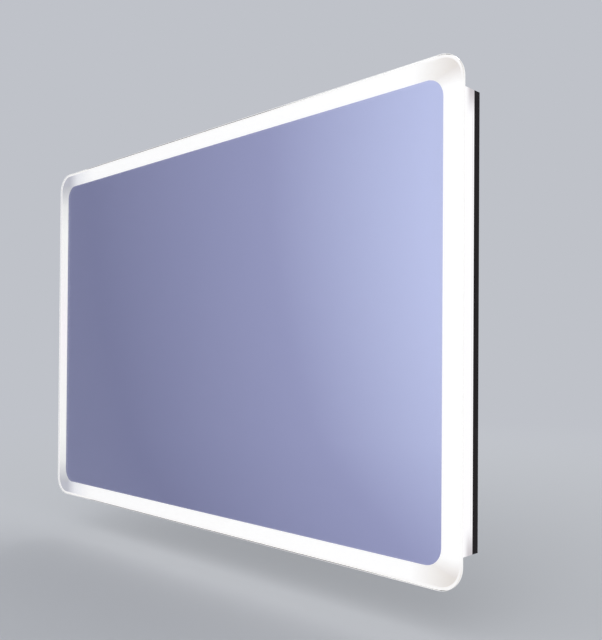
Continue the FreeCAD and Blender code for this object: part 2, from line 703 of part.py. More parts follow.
# The sheet-steel plate that ties the four bars together, with its holes, window and vents.
def make_back_plate():
    half_x = reach_x - d.bar_width - d.fit_gap
    half_z = reach_z - d.bar_width - d.fit_gap
    notch = d.ledge_width + d.corner_gap
    body = new_body("back_plate")
    sketch = new_sketch(body)
    draw_polygon(sketch, [
        (notch - half_x, -half_z), (half_x - notch, -half_z), (half_x - notch, notch - half_z),
        (half_x, notch - half_z), (half_x, half_z - notch), (half_x - notch, half_z - notch),
        (half_x - notch, half_z), (notch - half_x, half_z), (notch - half_x, half_z - notch),
        (-half_x, half_z - notch), (-half_x, notch - half_z), (notch - half_x, notch - half_z),
    ])
    pad(body, sketch, d.plate_thick)

    holes = new_sketch(body)
    for x, z in screw_spots + tab_spots:
        draw_circle(holes, x, z, d.screw_radius + d.fit_gap)
    for x, z in rivet_spots:
        draw_circle(holes, x, z, d.rivet_radius + d.fit_gap / 2)
    for x, z in lid_spots:
        draw_circle(holes, x, z, d.small_screw + d.fit_gap)
    pocket(body, holes)

    window = new_sketch(body)
    draw_rounded(window, d.box_x, d.service_z, d.box_length / 2 - d.window_margin,
                 d.box_width / 2 - d.window_margin, d.box_wall)
    pocket(body, window)

    rise = d.driver_width / 2 + d.vent_rise + d.vent_length / 2
    for row in (-1, 1):
        vent = new_sketch(body)
        draw_slot(vent, d.driver_x - d.vent_pitch * (d.vent_count - 1) / 2, d.service_z + rise * row,
                  d.vent_length / 2, d.vent_width / 2, upright=True)
        pocket(body, vent)
        repeat(body, "X_Axis", d.vent_pitch, d.vent_count)
    place(body, ZERO, d.plate_off, ZERO)
    screws("plate_screws", screw_spots, d.plate_off,
           screw_sizes(d.plate_thick + d.channel_wall + d.screw_grip))


# The folded hooks, which straddle the upstand of the rail, and the rivets that hold them.
def make_hangers():
    leg_front = d.rail_stand - d.seat_gap
    leg_back = leg_front - d.hook_thick
    flange_back = d.plate_off - d.hook_thick
    for side, middle in hook_spots.items():
        body = new_body(f"hanger_{side}")
        sketch = new_sketch(body, "YZ_Plane")
        draw_polygon(sketch, [
            (-leg_back, hook_under - d.hook_leg), (-leg_front, hook_under - d.hook_leg),
            (-leg_front, hook_under), (-flange_back, hook_under), (-flange_back, hook_top - d.hook_flange),
            (-d.plate_off, hook_top - d.hook_flange), (-d.plate_off, hook_top), (-leg_back, hook_top),
        ])
        pad(body, sketch, d.hook_width)
        holes = new_sketch(body)
        for end in (d.rivet_inset, d.hook_width - d.rivet_inset):
            draw_circle(holes, end, rivet_rise, d.rivet_radius + d.fit_gap / 2)
        pocket(body, holes)
        place(body, middle - d.hook_width / 2, ZERO, rail_rise)

    rivets = new_body("hanger_rivets")
    grip = d.hook_thick + d.plate_thick
    layers = ((None, d.rivet_head, d.rivet_height), (None, d.rivet_radius, 2 * d.rivet_height + grip),
              (d.rivet_height + grip, d.rivet_head, d.rivet_height))
    for lift, radius, length in layers:
        sketch = new_sketch(rivets, lift=lift)
        for x, z in rivet_spots:
            draw_circle(sketch, x, z, radius)
        pad(rivets, sketch, length)
    total = -(2 * d.rivet_height + grip)
    soften(rivets, "Fillet", d.rivet_height / 2,
           lambda edge: lies_at(edge, 0) or lies_at(edge, total.value))
    place(rivets, ZERO, flange_back - d.rivet_height, ZERO)


# The rail that stays on the wall: a skirt with two slots, a step, and the upstand for the hooks.
def make_wall_rail():
    body = new_body("wall_rail")
    sketch = new_sketch(body, "YZ_Plane")
    lip_front = d.rail_stand + d.rail_thick
    draw_polygon(sketch, [
        (ZERO, -d.rail_skirt), (-d.rail_thick, -d.rail_skirt), (-d.rail_thick, d.rail_step - d.rail_thick),
        (-lip_front, d.rail_step - d.rail_thick), (-lip_front, rail_seat), (-d.rail_stand, rail_seat),
        (-d.rail_stand, d.rail_step), (ZERO, d.rail_step),
    ])
    pad(body, sketch, d.rail_length)
    slots = new_sketch(body)
    for side in (-1, 1):
        draw_slot(slots, d.rail_length / 2 + d.slot_spacing / 2 * side, ZERO, d.slot_length / 2,
                  d.slot_width / 2)
    pocket(body, slots)
    place(body, -d.rail_length / 2, ZERO, rail_rise)


def corner_post_outline(sketch, half_x, half_z, post):
    """The inside of a case that keeps a square post in each corner."""
    quadrants = ((1, 1), (-1, 1), (-1, -1), (1, -1))
    corners = []
    for turn, (sx, sz) in enumerate(quadrants):
        tips = [(half_x, half_z - post), (half_x - post, half_z - post), (half_x - post, half_z)]
        for x, z in (tips if turn % 2 == 0 else tips[::-1]):
            corners.append((sx * x, sz * z))
    draw_polygon(sketch, corners)


# The LED driver: an open case with fixing tabs, its board and parts, and a screwed cover.
def make_driver():
    half_x, half_z = d.driver_length / 2, d.driver_width / 2
    inner_x, inner_z = half_x - d.driver_wall, half_z - d.driver_wall
    case_height = d.driver_height - d.driver_wall
    post_x, post_z = inner_x - d.post_size / 2, inner_z - d.post_size / 2
    posts = [(sx * post_x, sz * post_z) for sx, sz in ((1, 1), (-1, 1), (-1, -1), (1, -1))]

    case = new_body("driver_case")
    sketch = new_sketch(case)
    draw_rounded(sketch, ZERO, ZERO, half_x, half_z, d.driver_wall)
    pad(case, sketch, case_height)
    hollow = new_sketch(case, lift=case_height)
    corner_post_outline(hollow, inner_x, inner_z, d.post_size)
    pocket(case, hollow, case_height - d.driver_wall, backwards=False)
    bosses = new_sketch(case)
    boss_x, boss_z = inner_x - d.post_size - d.boss_inset, inner_z - d.boss_inset
    for sx, sz in ((1, 1), (-1, 1), (-1, -1), (1, -1)):
        draw_circle(bosses, sx * boss_x, sz * boss_z, d.boss_radius)
    pad(case, bosses, d.driver_wall + d.board_lift)
    tabs = new_sketch(case)
    for side in (-1, 1):
        draw_box(tabs, tab_shift * side, (tab_rise - d.driver_wall / 2) * side, d.tab_length,
                 d.tab_length / 2 + d.driver_wall / 2)
    pad(case, tabs, d.tab_thick)
    holes = new_sketch(case)
    for side in (-1, 1):
        draw_circle(holes, tab_shift * side, tab_rise * side, d.screw_radius + d.fit_gap)
    pocket(case, holes, d.tab_thick)
    pilots = new_sketch(case, lift=case_height)
    for x, z in posts:
        draw_circle(pilots, x, z, d.small_screw + d.fit_gap / 2)
    pocket(case, pilots, d.small_grip, backwards=False)
    outlets = new_sketch(case, "YZ_Plane")
    for level in lead_levels:
        draw_circle(outlets, plate_front - lead_off, level - d.service_z, d.lead_radius + d.fit_gap)
    pocket(case, outlets, backwards=False)
    inlet = new_sketch(case, "YZ_Plane")
    draw_circle(inlet, plate_front - mains_off, mains_z - d.service_z, d.mains_radius + d.fit_gap)
    pocket(case, inlet)
    place(case, d.driver_x, plate_front, d.service_z)

    cover = new_body("driver_cover")
    sketch = new_sketch(cover)
    draw_rounded(sketch, ZERO, ZERO, half_x, half_z, d.driver_wall)
    pad(cover, sketch, d.driver_wall)
    holes = new_sketch(cover)
    for x, z in posts:
        draw_circle(holes, x, z, d.small_screw + d.fit_gap)
    pocket(cover, holes)
    place(cover, d.driver_x, case_front, d.service_z)

    plate_part("driver_board",
               lambda sketch: corner_post_outline(sketch, inner_x - d.board_gap, inner_z - d.board_gap,
                                                  d.post_size),
               board_back, d.board_thick, d.driver_x, d.service_z)
    screws("cover_screws", posts, case_front + d.driver_wall, screw_sizes(d.small_grip, small=True),
           d.driver_x, d.service_z, facing_front=True)
    screws("driver_screws", tab_spots, plate_front + d.tab_thick,
           screw_sizes(d.tab_thick + d.plate_thick + d.screw_grip / 2), facing_front=True)
    make_driver_parts()


# What stands on the driver board: terminals, transformer, heat sink, capacitors and a choke.
def make_driver_parts():
    body = new_body("driver_parts")
    end = d.driver_length / 2 - d.driver_wall - d.post_size - d.board_gap
    outlet = new_sketch(body)
    draw_box(outlet, d.outlet_depth / 2 - end, ZERO, d.outlet_depth / 2, d.lead_pitch * 2)
    pad(body, outlet, 2 * (d.lead_radius + d.lead_clear) + d.terminal_hole)
    inlet = new_sketch(body)
    draw_box(inlet, end - d.mains_radius, mains_z - d.service_z, d.mains_radius,
             d.mains_radius + d.terminal_hole)
    pad(body, inlet, 2 * d.mains_radius + d.terminal_hole)
    for name in BLOCKS:
        x, z, half_x, half_z, height = (getattr(d, f"{name}_{field}") for field in BLOCK_FIELDS)
        sketch = new_sketch(body)
        draw_box(sketch, x, z, half_x, half_z)
        pad(body, sketch, height)
    for name in CANS:
        x, z, radius, height = (getattr(d, f"{name}_{field}") for field in CAN_FIELDS)
        sketch = new_sketch(body)
        draw_circle(sketch, x, z, radius)
        pad(body, sketch, height)
    place(body, d.driver_x, board_front, d.service_z)


# The junction box behind the window of the plate, its lid on the wall side, and what is in them.
def make_junction():
    half_x, half_z = d.box_length / 2, d.box_width / 2
    inner_x, inner_z = half_x - d.box_wall, half_z - d.box_wall
    box = new_body("junction_box")
    sketch = new_sketch(box)
    draw_rounded(sketch, ZERO, ZERO, half_x, half_z, d.box_wall)
    pad(box, sketch, d.box_height)
    hollow = new_sketch(box)
    corner_post_outline(hollow, inner_x, inner_z, d.post_size)
    pocket(box, hollow, d.box_height - d.box_wall)
    pilots = new_sketch(box)
    for x, z in lid_spots:
        draw_circle(pilots, x - d.box_x, z - d.service_z, d.small_screw + d.fit_gap / 2)
    pocket(box, pilots, d.small_grip + d.lid_thick)
    inlet = new_sketch(box, "YZ_Plane")
    draw_circle(inlet, plate_front - mains_off, mains_z - d.service_z, d.mains_radius + d.fit_gap)
    pocket(box, inlet, backwards=False)
    place(box, d.box_x, plate_front, d.service_z)

    lid = new_body("junction_lid")
    sketch = new_sketch(lid)
    draw_rounded(sketch, ZERO, ZERO, half_x + d.lid_overlap, half_z + d.lid_overlap,
                 d.box_wall + d.lid_overlap)
    pad(lid, sketch, d.lid_thick)
    holes = new_sketch(lid)
    for x, z in lid_spots:
        draw_circle(holes, x - d.box_x, z - d.service_z, d.small_screw + d.fit_gap)
    draw_circle(holes, d.grommet_shift, grommet_z - d.service_z, d.grommet_neck + d.fit_gap)
    pocket(lid, holes)
    place(lid, d.box_x, d.plate_off - d.lid_thick, d.service_z)
    screws("junction_screws", lid_spots, d.plate_off - d.lid_thick,
           screw_sizes(d.lid_thick + d.plate_thick + d.small_grip, small=True))

    grommet = new_body("cable_grommet")
    sketch = new_sketch(grommet, "XY_Plane")
    first, second = d.grommet_flange, d.grommet_flange + d.lid_thick
    full = second + d.grommet_flange
    bevel = d.grommet_flange / 2
    draw_polygon(sketch, [
        (d.bore_radius, ZERO), (d.grommet_rim - bevel, ZERO), (d.grommet_rim, -bevel),
        (d.grommet_rim, -first), (d.grommet_neck, -first), (d.grommet_neck, -second),
        (d.grommet_rim, -second), (d.grommet_rim, bevel - full), (d.grommet_rim - bevel, -full),
        (d.bore_radius, -full),
    ])
    ring = grommet.newObject("PartDesign::Revolution", "Ring")
    ring.Profile = sketch
    ring.ReferenceAxis = (sketch, ["V_Axis"])
    ring.Angle = 360
    place(grommet, grommet_x, d.plate_off - d.lid_thick - d.grommet_flange, grommet_z)

    block = new_body("terminal_block")
    sketch = new_sketch(block)
    draw_box(sketch, ZERO, ZERO, d.terminal_length / 2, d.terminal_width / 2)
    pad(block, sketch, d.terminal_height)
    wells = new_sketch(block)
    ways = int(d.terminal_ways.value)
    for way in range(ways):
        shift = d.terminal_length / ways * (way - (ways - 1) / 2)
        for side in (-1, 1):
            draw_circle(wells, shift, d.terminal_width / 4 * side, d.terminal_hole)
    pocket(block, wells, d.terminal_height / 2)
    floor = plate_front + d.box_height - d.box_wall
    place(block, d.box_x + d.terminal_shift, floor - d.terminal_height, mains_z)


def tube(label, points, radius, bends):
    """A lead of straight runs joined by tangent arcs; points are (x, off, z) and bends their radii."""
    spots = [FreeCAD.Vector(x.value, -off.value, (z - rail_rise).value) for x, off, z in points]
    edges, reached = [], spots[0]
    for before, spot, after, bend in zip(spots, spots[1:], spots[2:], bends):
        inward, outward = (spot - before).normalize(), (after - spot).normalize()
        half = inward.getAngle(outward) / 2
        setback = bend.value * math.tan(half)
        first, last = spot - inward * setback, spot + outward * setback
        middle = spot + (outward - inward).normalize() * (bend.value / math.cos(half) - bend.value)
        edges += [Part.LineSegment(reached, first).toShape(), Part.Arc(first, middle, last).toShape()]
        reached = last
    edges.append(Part.LineSegment(reached, spots[-1]).toShape())
    path = Part.Wire(edges)
    ring = Part.Wire(Part.makeCircle(radius.value, spots[0], spots[1] - spots[0]))
    solid = path.makePipeShell([ring], True, False)
    expected = math.pi * radius.value ** 2 * path.Length
    if abs(solid.Volume - expected) > VOLUME_MATCH * expected:
        raise ValueError(f"{label} has lost its section along its path")
    lead = doc.addObject("Part::Feature", label)
    lead.Label = label
    lead.Shape = solid
    parts.append(lead)
    print(label, "length", round(path.Length, 1), "least bend", min((b.value for b in bends), default=None))


# The four LED leads, the mains lead, and the clips that hold them to the back plate.
def make_leads():
    end = d.driver_length / 2 - d.driver_wall - d.post_size - d.board_gap
    start = d.driver_x - end
    landing = pcb_front + d.lead_clear
    far_x, far_z = reach_x - strip_reach, reach_z - strip_reach
    top, left, bottom, right = lead_levels
    routes = {
        "top": [(start, top), (turn_top, top), (turn_top, far_z)],
        "left": [(start, left), (-far_x, left)],
        "bottom": [(start, bottom), (turn_bottom, bottom), (turn_bottom, -far_z)],
        "right": [(start, right), (turn_right, right), (turn_right, right_level), (far_x, right_level)],
    }
    for side, route in routes.items():
        points = [(x, lead_off, z) for x, z in route]
        x, z = route[-1]
        points.append((x, landing, z))
        bends = [d.lead_bend] * (len(points) - 3) + [d.drop_bend]
        tube(f"lead_{side}", points, d.lead_radius, bends)
    block_end = d.box_x + d.terminal_shift - d.terminal_length / 2
    tube("mains_lead", [(d.driver_x + end, mains_off, mains_z), (block_end, mains_off, mains_z)],
         d.mains_radius, [])

    upright = [(turn_top, (top + rivet_z) / 2), (turn_top, rivet_z + d.clip_rise)]
    upright += [(turn_bottom, z) for z in along(bottom, -far_z, BOTTOM_CLIPS)]
    level = [(x, left) for x in along(turn_bottom, -far_x, LEFT_CLIPS)]
    level += [(x, right_level) for x in along(turn_right, far_x, RIGHT_CLIPS)]
    groove = lead_off - d.lead_radius - d.fit_gap / 2 - plate_front
    inside = d.lead_radius + d.fit_gap
    body = new_body("lead_clips")
    base, walls = new_sketch(body), new_sketch(body)
    for spots, is_upright in ((upright, True), (level, False)):
        for x, z in spots:
            across = inside + d.clip_wall
            half = (across, d.clip_length / 2) if is_upright else (d.clip_length / 2, across)
            draw_box(base, x, z, *half)
            for side in (-1, 1):
                shift = (inside + d.clip_wall / 2) * side
                dx, dz = (shift, ZERO) if is_upright else (ZERO, shift)
                thin = (d.clip_wall / 2, d.clip_length / 2)
                draw_box(walls, x + dx, z + dz, *(thin if is_upright else thin[::-1]))
    pad(body, base, groove)
    pad(body, walls, groove + d.lead_radius * 2)
    place(body, ZERO, plate_front, ZERO)


def main():
    make_glass()
    lead_spots = {"top": (turn_top, ZERO), "bottom": (turn_bottom, ZERO),
                  "left": (ZERO, lead_levels[1]), "right": (ZERO, right_level)}
    for side, bar in BARS.items():
        make_channel(bar, bar.run_at(*lead_spots[side]))
        make_diffuser(bar)
        make_led_strip(bar)
    make_bar_trim()
    make_back_plate()
    make_hangers()
    make_wall_rail()
    make_driver()
    make_junction()
    make_leads()

    doc.recompute()
    for item in doc.Objects:
        if {"Invalid", "Error"} & set(item.State):
            raise ValueError(f"{item.Label} failed: {item.State}")
    for part in parts:
        if part.Shape.isNull() or not part.Shape.isValid():
            raise ValueError(f"{part.Label} has no valid shape")
    os.makedirs("parts", exist_ok=True)
    for part in parts:
        part.Shape.exportStep(f"parts/{part.Label}.step")
        box = part.Shape.BoundBox
        print(f"{part.Label}: {len(part.Shape.Solids)} solids, {part.Shape.Volume:.0f} mm3, "
              f"{box.XLength:.1f} x {box.YLength:.1f} x {box.ZLength:.1f}")


main()
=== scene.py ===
"""Looks of a lighted bathroom mirror: its finishes, its fine pieces and a plain studio."""
import logging
import math
from collections.abc import Callable
from dataclasses import dataclass, field
from enum import Enum
from functools import partial

import bmesh
import bpy
from mathutils import Matrix, Vector


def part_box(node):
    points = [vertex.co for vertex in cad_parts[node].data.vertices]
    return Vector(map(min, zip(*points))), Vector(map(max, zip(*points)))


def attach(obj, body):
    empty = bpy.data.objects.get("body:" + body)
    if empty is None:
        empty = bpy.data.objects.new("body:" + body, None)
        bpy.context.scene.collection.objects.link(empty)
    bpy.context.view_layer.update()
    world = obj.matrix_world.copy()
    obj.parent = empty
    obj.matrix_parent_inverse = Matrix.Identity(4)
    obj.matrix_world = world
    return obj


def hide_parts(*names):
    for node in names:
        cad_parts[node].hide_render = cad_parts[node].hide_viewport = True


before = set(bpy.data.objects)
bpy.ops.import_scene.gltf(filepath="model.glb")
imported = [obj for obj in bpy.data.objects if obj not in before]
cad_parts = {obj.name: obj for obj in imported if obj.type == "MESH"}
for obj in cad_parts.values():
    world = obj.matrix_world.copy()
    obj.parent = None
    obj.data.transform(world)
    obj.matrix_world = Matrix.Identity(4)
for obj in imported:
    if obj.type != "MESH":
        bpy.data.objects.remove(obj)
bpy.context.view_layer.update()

LOG = logging.getLogger("lighted_mirror")
MM = 0.001
CENTRE_Z = -0.190  # the middle of the mirror, below the wall rail's slots
UNIT, RAIL = "mirror", "wall_rail"
FACING = 0.9  # the least part of a normal along an axis that a face looks along
BUMP_REACH = MM / 10
SHARP, FLAT = math.radians(40), math.radians(0.5)  # between faces: a broken, a dissolved edge
SHINIER, DULLER = 0.08, 0.1  # how far the roughness of a skin strays to either side
BLACK = "#000000"
A, B, MIXED = 6, 7, 2  # the colour inputs and the colour output of a mix node
Tree, Node, Socket = bpy.types.NodeTree, bpy.types.Node, bpy.types.NodeSocket
Mesh, Face = bmesh.types.BMesh, bmesh.types.BMFace
Pair, Triple = tuple[float, float], tuple[float, float, float]
Inputs = dict[str | int, object]  # what the inputs of a node are given, by name or number
Stops = tuple[tuple[float, str], ...]  # places and colours along a run
Add = Callable[..., Node]  # add_node with its tree


class Side(Enum):
    """The four edges of the mirror that carry a light bar."""

    TOP = "top"
    BOTTOM = "bottom"
    LEFT = "left"
    RIGHT = "right"

    @property
    def is_level(self) -> bool:
        """Whether the bar runs along X."""
        return self in (Side.TOP, Side.BOTTOM)

    @property
    def outwards(self) -> Vector:
        """The way from the middle of the mirror to this edge."""
        return Vector({Side.TOP: (0, 0, 1), Side.BOTTOM: (0, 0, -1),
                       Side.LEFT: (-1, 0, 0), Side.RIGHT: (1, 0, 0)}[self])


class Grain(Enum):
    """The direction that drawn or extruded lines follow."""

    ALONG_X = (0.01, 1.0, 1.0)
    ALONG_Z = (1.0, 1.0, 0.01)
    NONE = (1.0, 1.0, 1.0)


def linear(hex_colour: str) -> tuple[float, float, float, float]:
    """Turns an sRGB hex colour into linear RGBA.

    Args:
        hex_colour: such as "#F2F4F7".
    Returns:
        The four channels, with alpha 1.
    """
    channels = [int(hex_colour[i:i + 2], 16) / 255 for i in (1, 3, 5)]
    red, green, blue = (c / 12.92 if c <= 0.04045 else ((c + 0.055) / 1.055) ** 2.4
                        for c in channels)
    return red, green, blue, 1.0


def add_node(tree: Tree, kind: str, inputs: Inputs | None = None, stops: Stops = (),
             **settings: object) -> Node:
    """Adds one node with its settings, values and links.

    Args:
        tree: the node tree.
        kind: the node type without its "ShaderNode" prefix.
        inputs: for each a value, a hex colour, a socket, or a node whose first output it takes.
        stops: the places, from 0 to 1, and colours of a colour ramp.
        settings: properties of the node itself.
    Returns:
        The new node.
    """
    node = tree.nodes.new(f"ShaderNode{kind}")
    for name, value in settings.items():
        setattr(node, name, value)
    for name, value in (inputs or {}).items():
        if isinstance(value, (Node, str)):
            value = linear(value) if isinstance(value, str) else value.outputs[0]
        if isinstance(value, Socket):
            tree.links.new(value, node.inputs[name])
        else:
            node.inputs[name].default_value = value
    for number, (where, colour) in enumerate(stops):
        marks = node.color_ramp.elements
        mark = marks[number] if number < len(marks) else marks.new(1.0)
        mark.position, mark.color = where, linear(colour)
    return node


@dataclass(frozen=True)
class Finish:
    """A finish of one real material. Each kind of finish has its own pattern."""

    name: str
    colour: str
    roughness: float = 0.5

    def material(self) -> bpy.types.Material:
        """The finish as a Blender material, made once.

        Returns:
            The material of this name.
        """
        known = bpy.data.materials.get(self.name)
        if known:
            return known
        made = bpy.data.materials.new(self.name)
        made.use_nodes = True
        made.node_tree.nodes.clear()
        add = partial(add_node, made.node_tree)
        spot = add("TexCoord").outputs["Object"]
        place = add("VectorMath", {0: spot, "Scale": 1 / MM}, operation="SCALE")
        plain = {"Base Color": self.colour, "Roughness": self.roughness}
        add("OutputMaterial", {"Surface": add("BsdfPrincipled", plain | self.pattern(add, place))})
        made.diffuse_color = linear(self.colour)
        return made

    def pattern(self, add: Add, place: Node) -> Inputs:
        """Makes the finish's own pattern.

        Args:
            add: adds a node to the material; not used here.
            place: gives each point, in millimetres; not used here.
        Returns:
            The shader's inputs that it sets.
        """
        return {}

    def dress(self, *nodes: str) -> None:
        """Gives this finish to CAD nodes.

        Args:
            nodes: their names.
        """
        for name in nodes:
            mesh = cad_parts[name].data
            mesh.materials.clear()
            mesh.materials.append(self.material())
        LOG.info("%s: %s", self.name, ", ".join(nodes))


@dataclass(frozen=True)
class FloatGlass(Finish):
    """Clear float glass, whose ground and polished edge is a little less clear than its faces."""

    ior: float = 1.52
    mark: float = 1.1  # the size of a polishing mark
    edge_roughness: Pair = (0.02, 0.12)

    def pattern(self, add: Add, place: Node) -> Inputs:
        """Makes polishing marks along the edge.

        Args:
            add: adds a node to the material.
            place: gives each point, in millimetres.
        Returns:
            The shader's inputs that it sets.
        """
        low, high = self.edge_roughness
        marks = add("TexNoise", {"Vector": place, "Scale": 1 / self.mark, "Detail": 3.0})
        facing = add("SeparateXYZ", {0: add("TexCoord").outputs["Normal"]})
        flat = add("Math", {0: facing.outputs[1]}, operation="ABSOLUTE")
        edge = add("Math", {0: flat, 1: FACING}, operation="LESS_THAN")
        rough = add("MapRange", {"Value": marks, "To Min": low, "To Max": high})
        on_edge = add("Math", {0: edge, 1: rough}, operation="MULTIPLY")
        return {"Roughness": on_edge, "IOR": self.ior, "Transmission Weight": 1.0}


@dataclass(frozen=True)
class SilverCoat(Finish):
    """Chemically deposited silver under a sprayed paint: a clean mirror in front, flat behind."""

    warm: str = "#E6E8F4"
    cloud: float = 250.0  # the size of a drift in the silver's tone
    paint: str = "#5C6664"
    paint_roughness: float = 0.55
    spray: float = 1.7  # the size of a drop in the paint
    relief: float = 0.2

    def pattern(self, add: Add, place: Node) -> Inputs:
        """Makes the silver's drift of tone, and the paint and its spray texture behind.

        Args:
            add: adds a node to the material.
            place: gives each point, in millimetres.
        Returns:
            The shader's inputs that it sets.
        """
        facing = add("SeparateXYZ", {0: add("TexCoord").outputs["Normal"]})
        back = add("Math", {0: facing.outputs[1], 1: FACING}, operation="GREATER_THAN")
        metal = add("Math", {0: 1.0, 1: back}, operation="SUBTRACT")
        spray = add("TexNoise", {"Vector": place, "Scale": 1 / self.spray, "Detail": 4.0})
        cloud = add("TexNoise", {"Vector": place, "Scale": 1 / self.cloud, "Detail": 2.0})
        silver = add("Mix", {"Factor": cloud, A: self.colour, B: self.warm}, data_type="RGBA")
        tone = add("Mix", {"Factor": back, A: silver.outputs[MIXED], B: self.paint},
                   data_type="RGBA")
        rough = add("MapRange", {"Value": back, "To Min": self.roughness,
                                 "To Max": self.paint_roughness})
        height = add("Math", {0: spray, 1: back}, operation="MULTIPLY")
        bump = add("Bump", {"Strength": self.relief, "Distance": BUMP_REACH, "Height": height})
        return {"Base Color": tone.outputs[MIXED], "Metallic": metal, "Roughness": rough,
                "Normal": bump}


@dataclass(frozen=True)
class BlastedBand(Finish):
    """Sandblasted glass lit from behind: white over the light bars, greyer in the open corners
    where no bar reaches, and bright again in a fine line where the edge gathers the light."""

    half_width: float = 450.0
    half_height: float = 300.0
    corner: float = 31.0
    rim: float = 2.9
    rim_fade: float = 1.5
    rim_colour: str = "#FCFBFA"
    grit: float = 0.8
    relief: float = 0.3
    sparkle: Pair = (0.985, 1.01)  # the dimmest and brightest grain
    strength: float = 1.03
    ambient: Triple = (0.085, 0.10, 0.125)  # what the light around it adds
    # The light fades from the end of each bar into the open corner: along the level bars from left
    # to right, and along the side bars from the middle to an end. The left side and its corners are
    # painted darker and cooler than the right, and the left fade starts well inside the bar's
    # reach.
    level: Stops = ((-418, "#BCBEC7"), (-388, "#ECEDF1"), (-335, "#FFFFFF"), (380, "#FFFFFF"),
                    (437, "#E2DDD8"))
    left: Stops = ((0, "#FDF9FC"), (190, "#F9FAF8"), (240, "#EDEEED"), (280, "#BDBFC5"))
    right: Stops = ((262, "#FFFFFF"), (285, "#DCD6D2"))

    def spread(self, stops: Stops, start: float, end: float) -> Stops:
        """The stops with their places as shares of a length that runs from start to end."""
        return tuple(((where - start) / (end - start), colour) for where, colour in stops)

    def lit(self, add: Add, axes: Node, tall: Node) -> Node:
        """Makes the light of the four bars on the border.

        Args:
            add: adds a node to the material.
            axes: gives a point's three distances.
            tall: gives its distance above or below the middle.
        Returns:
            The node that gives the light's colour.
        """
        is_right = add("Math", {0: axes, 1: 0.0}, operation="GREATER_THAN")
        share = add("MapRange", {"Value": tall, "From Max": self.half_height})
        left, right = (add("ValToRGB", {0: share}, self.spread(stops, 0.0, self.half_height))
                       for stops in (self.left, self.right))
        upright = add("Mix", {"Factor": is_right, A: left, B: right}, data_type="RGBA")
        along = add("MapRange", {"Value": axes, "From Min": -self.half_width,
                                 "From Max": self.half_width})
        level = add("ValToRGB", {0: along},
                    self.spread(self.level, -self.half_width, self.half_width))
        return add("VectorMath", {0: level, 1: upright.outputs[MIXED]}, operation="MAXIMUM")

    def pattern(self, add: Add, place: Node) -> Inputs:
        """Makes the light that shows through, its bright rim and the grain of the blasting.

        Args:
            add: adds a node to the material.
            place: gives each point, in millimetres.
        Returns:
            The shader's inputs that it sets.
        """
        axes = add("SeparateXYZ", {0: place})
        above = add("Math", {0: axes.outputs[2], 1: CENTRE_Z / MM}, operation="SUBTRACT")
        wide, tall = (add("Math", {0: value}, operation="ABSOLUTE") for value in (axes, above))
        past = [add("Math", {0: value, 1: half - self.corner}, operation="SUBTRACT")
                for value, half in ((wide, self.half_width), (tall, self.half_height))]
        spot = add("CombineXYZ", {number: add("Math", {0: value, 1: 0.0}, operation="MAXIMUM")
                                  for number, value in enumerate(past)})
        far = add("VectorMath", {0: spot}, operation="LENGTH").outputs["Value"]
        inner = self.corner - self.rim
        edge = add("MapRange", {"Value": far, "From Min": inner - self.rim_fade, "From Max": inner},
                   interpolation_type="SMOOTHSTEP")
        glow = add("Mix", {"Factor": edge, A: self.lit(add, axes, tall), B: self.rim_colour},
                   data_type="RGBA")
        # Blasting grit leaves pits of about 0.1 mm; they are drawn coarser so that they show.
        grit = add("TexNoise", {"Vector": place, "Scale": 1 / self.grit, "Detail": 4.0})
        low, high = self.sparkle
        speck = add("MapRange", {"Value": grit, "To Min": low, "To Max": high})
        own = add("VectorMath", {0: glow.outputs[MIXED], 1: self.ambient}, operation="SUBTRACT")
        light = add("VectorMath", {0: own, "Scale": speck}, operation="SCALE")
        bump = add("Bump", {"Strength": self.relief, "Distance": BUMP_REACH, "Height": grit})
        return {"Emission Color": light, "Emission Strength": self.strength, "Normal": bump}


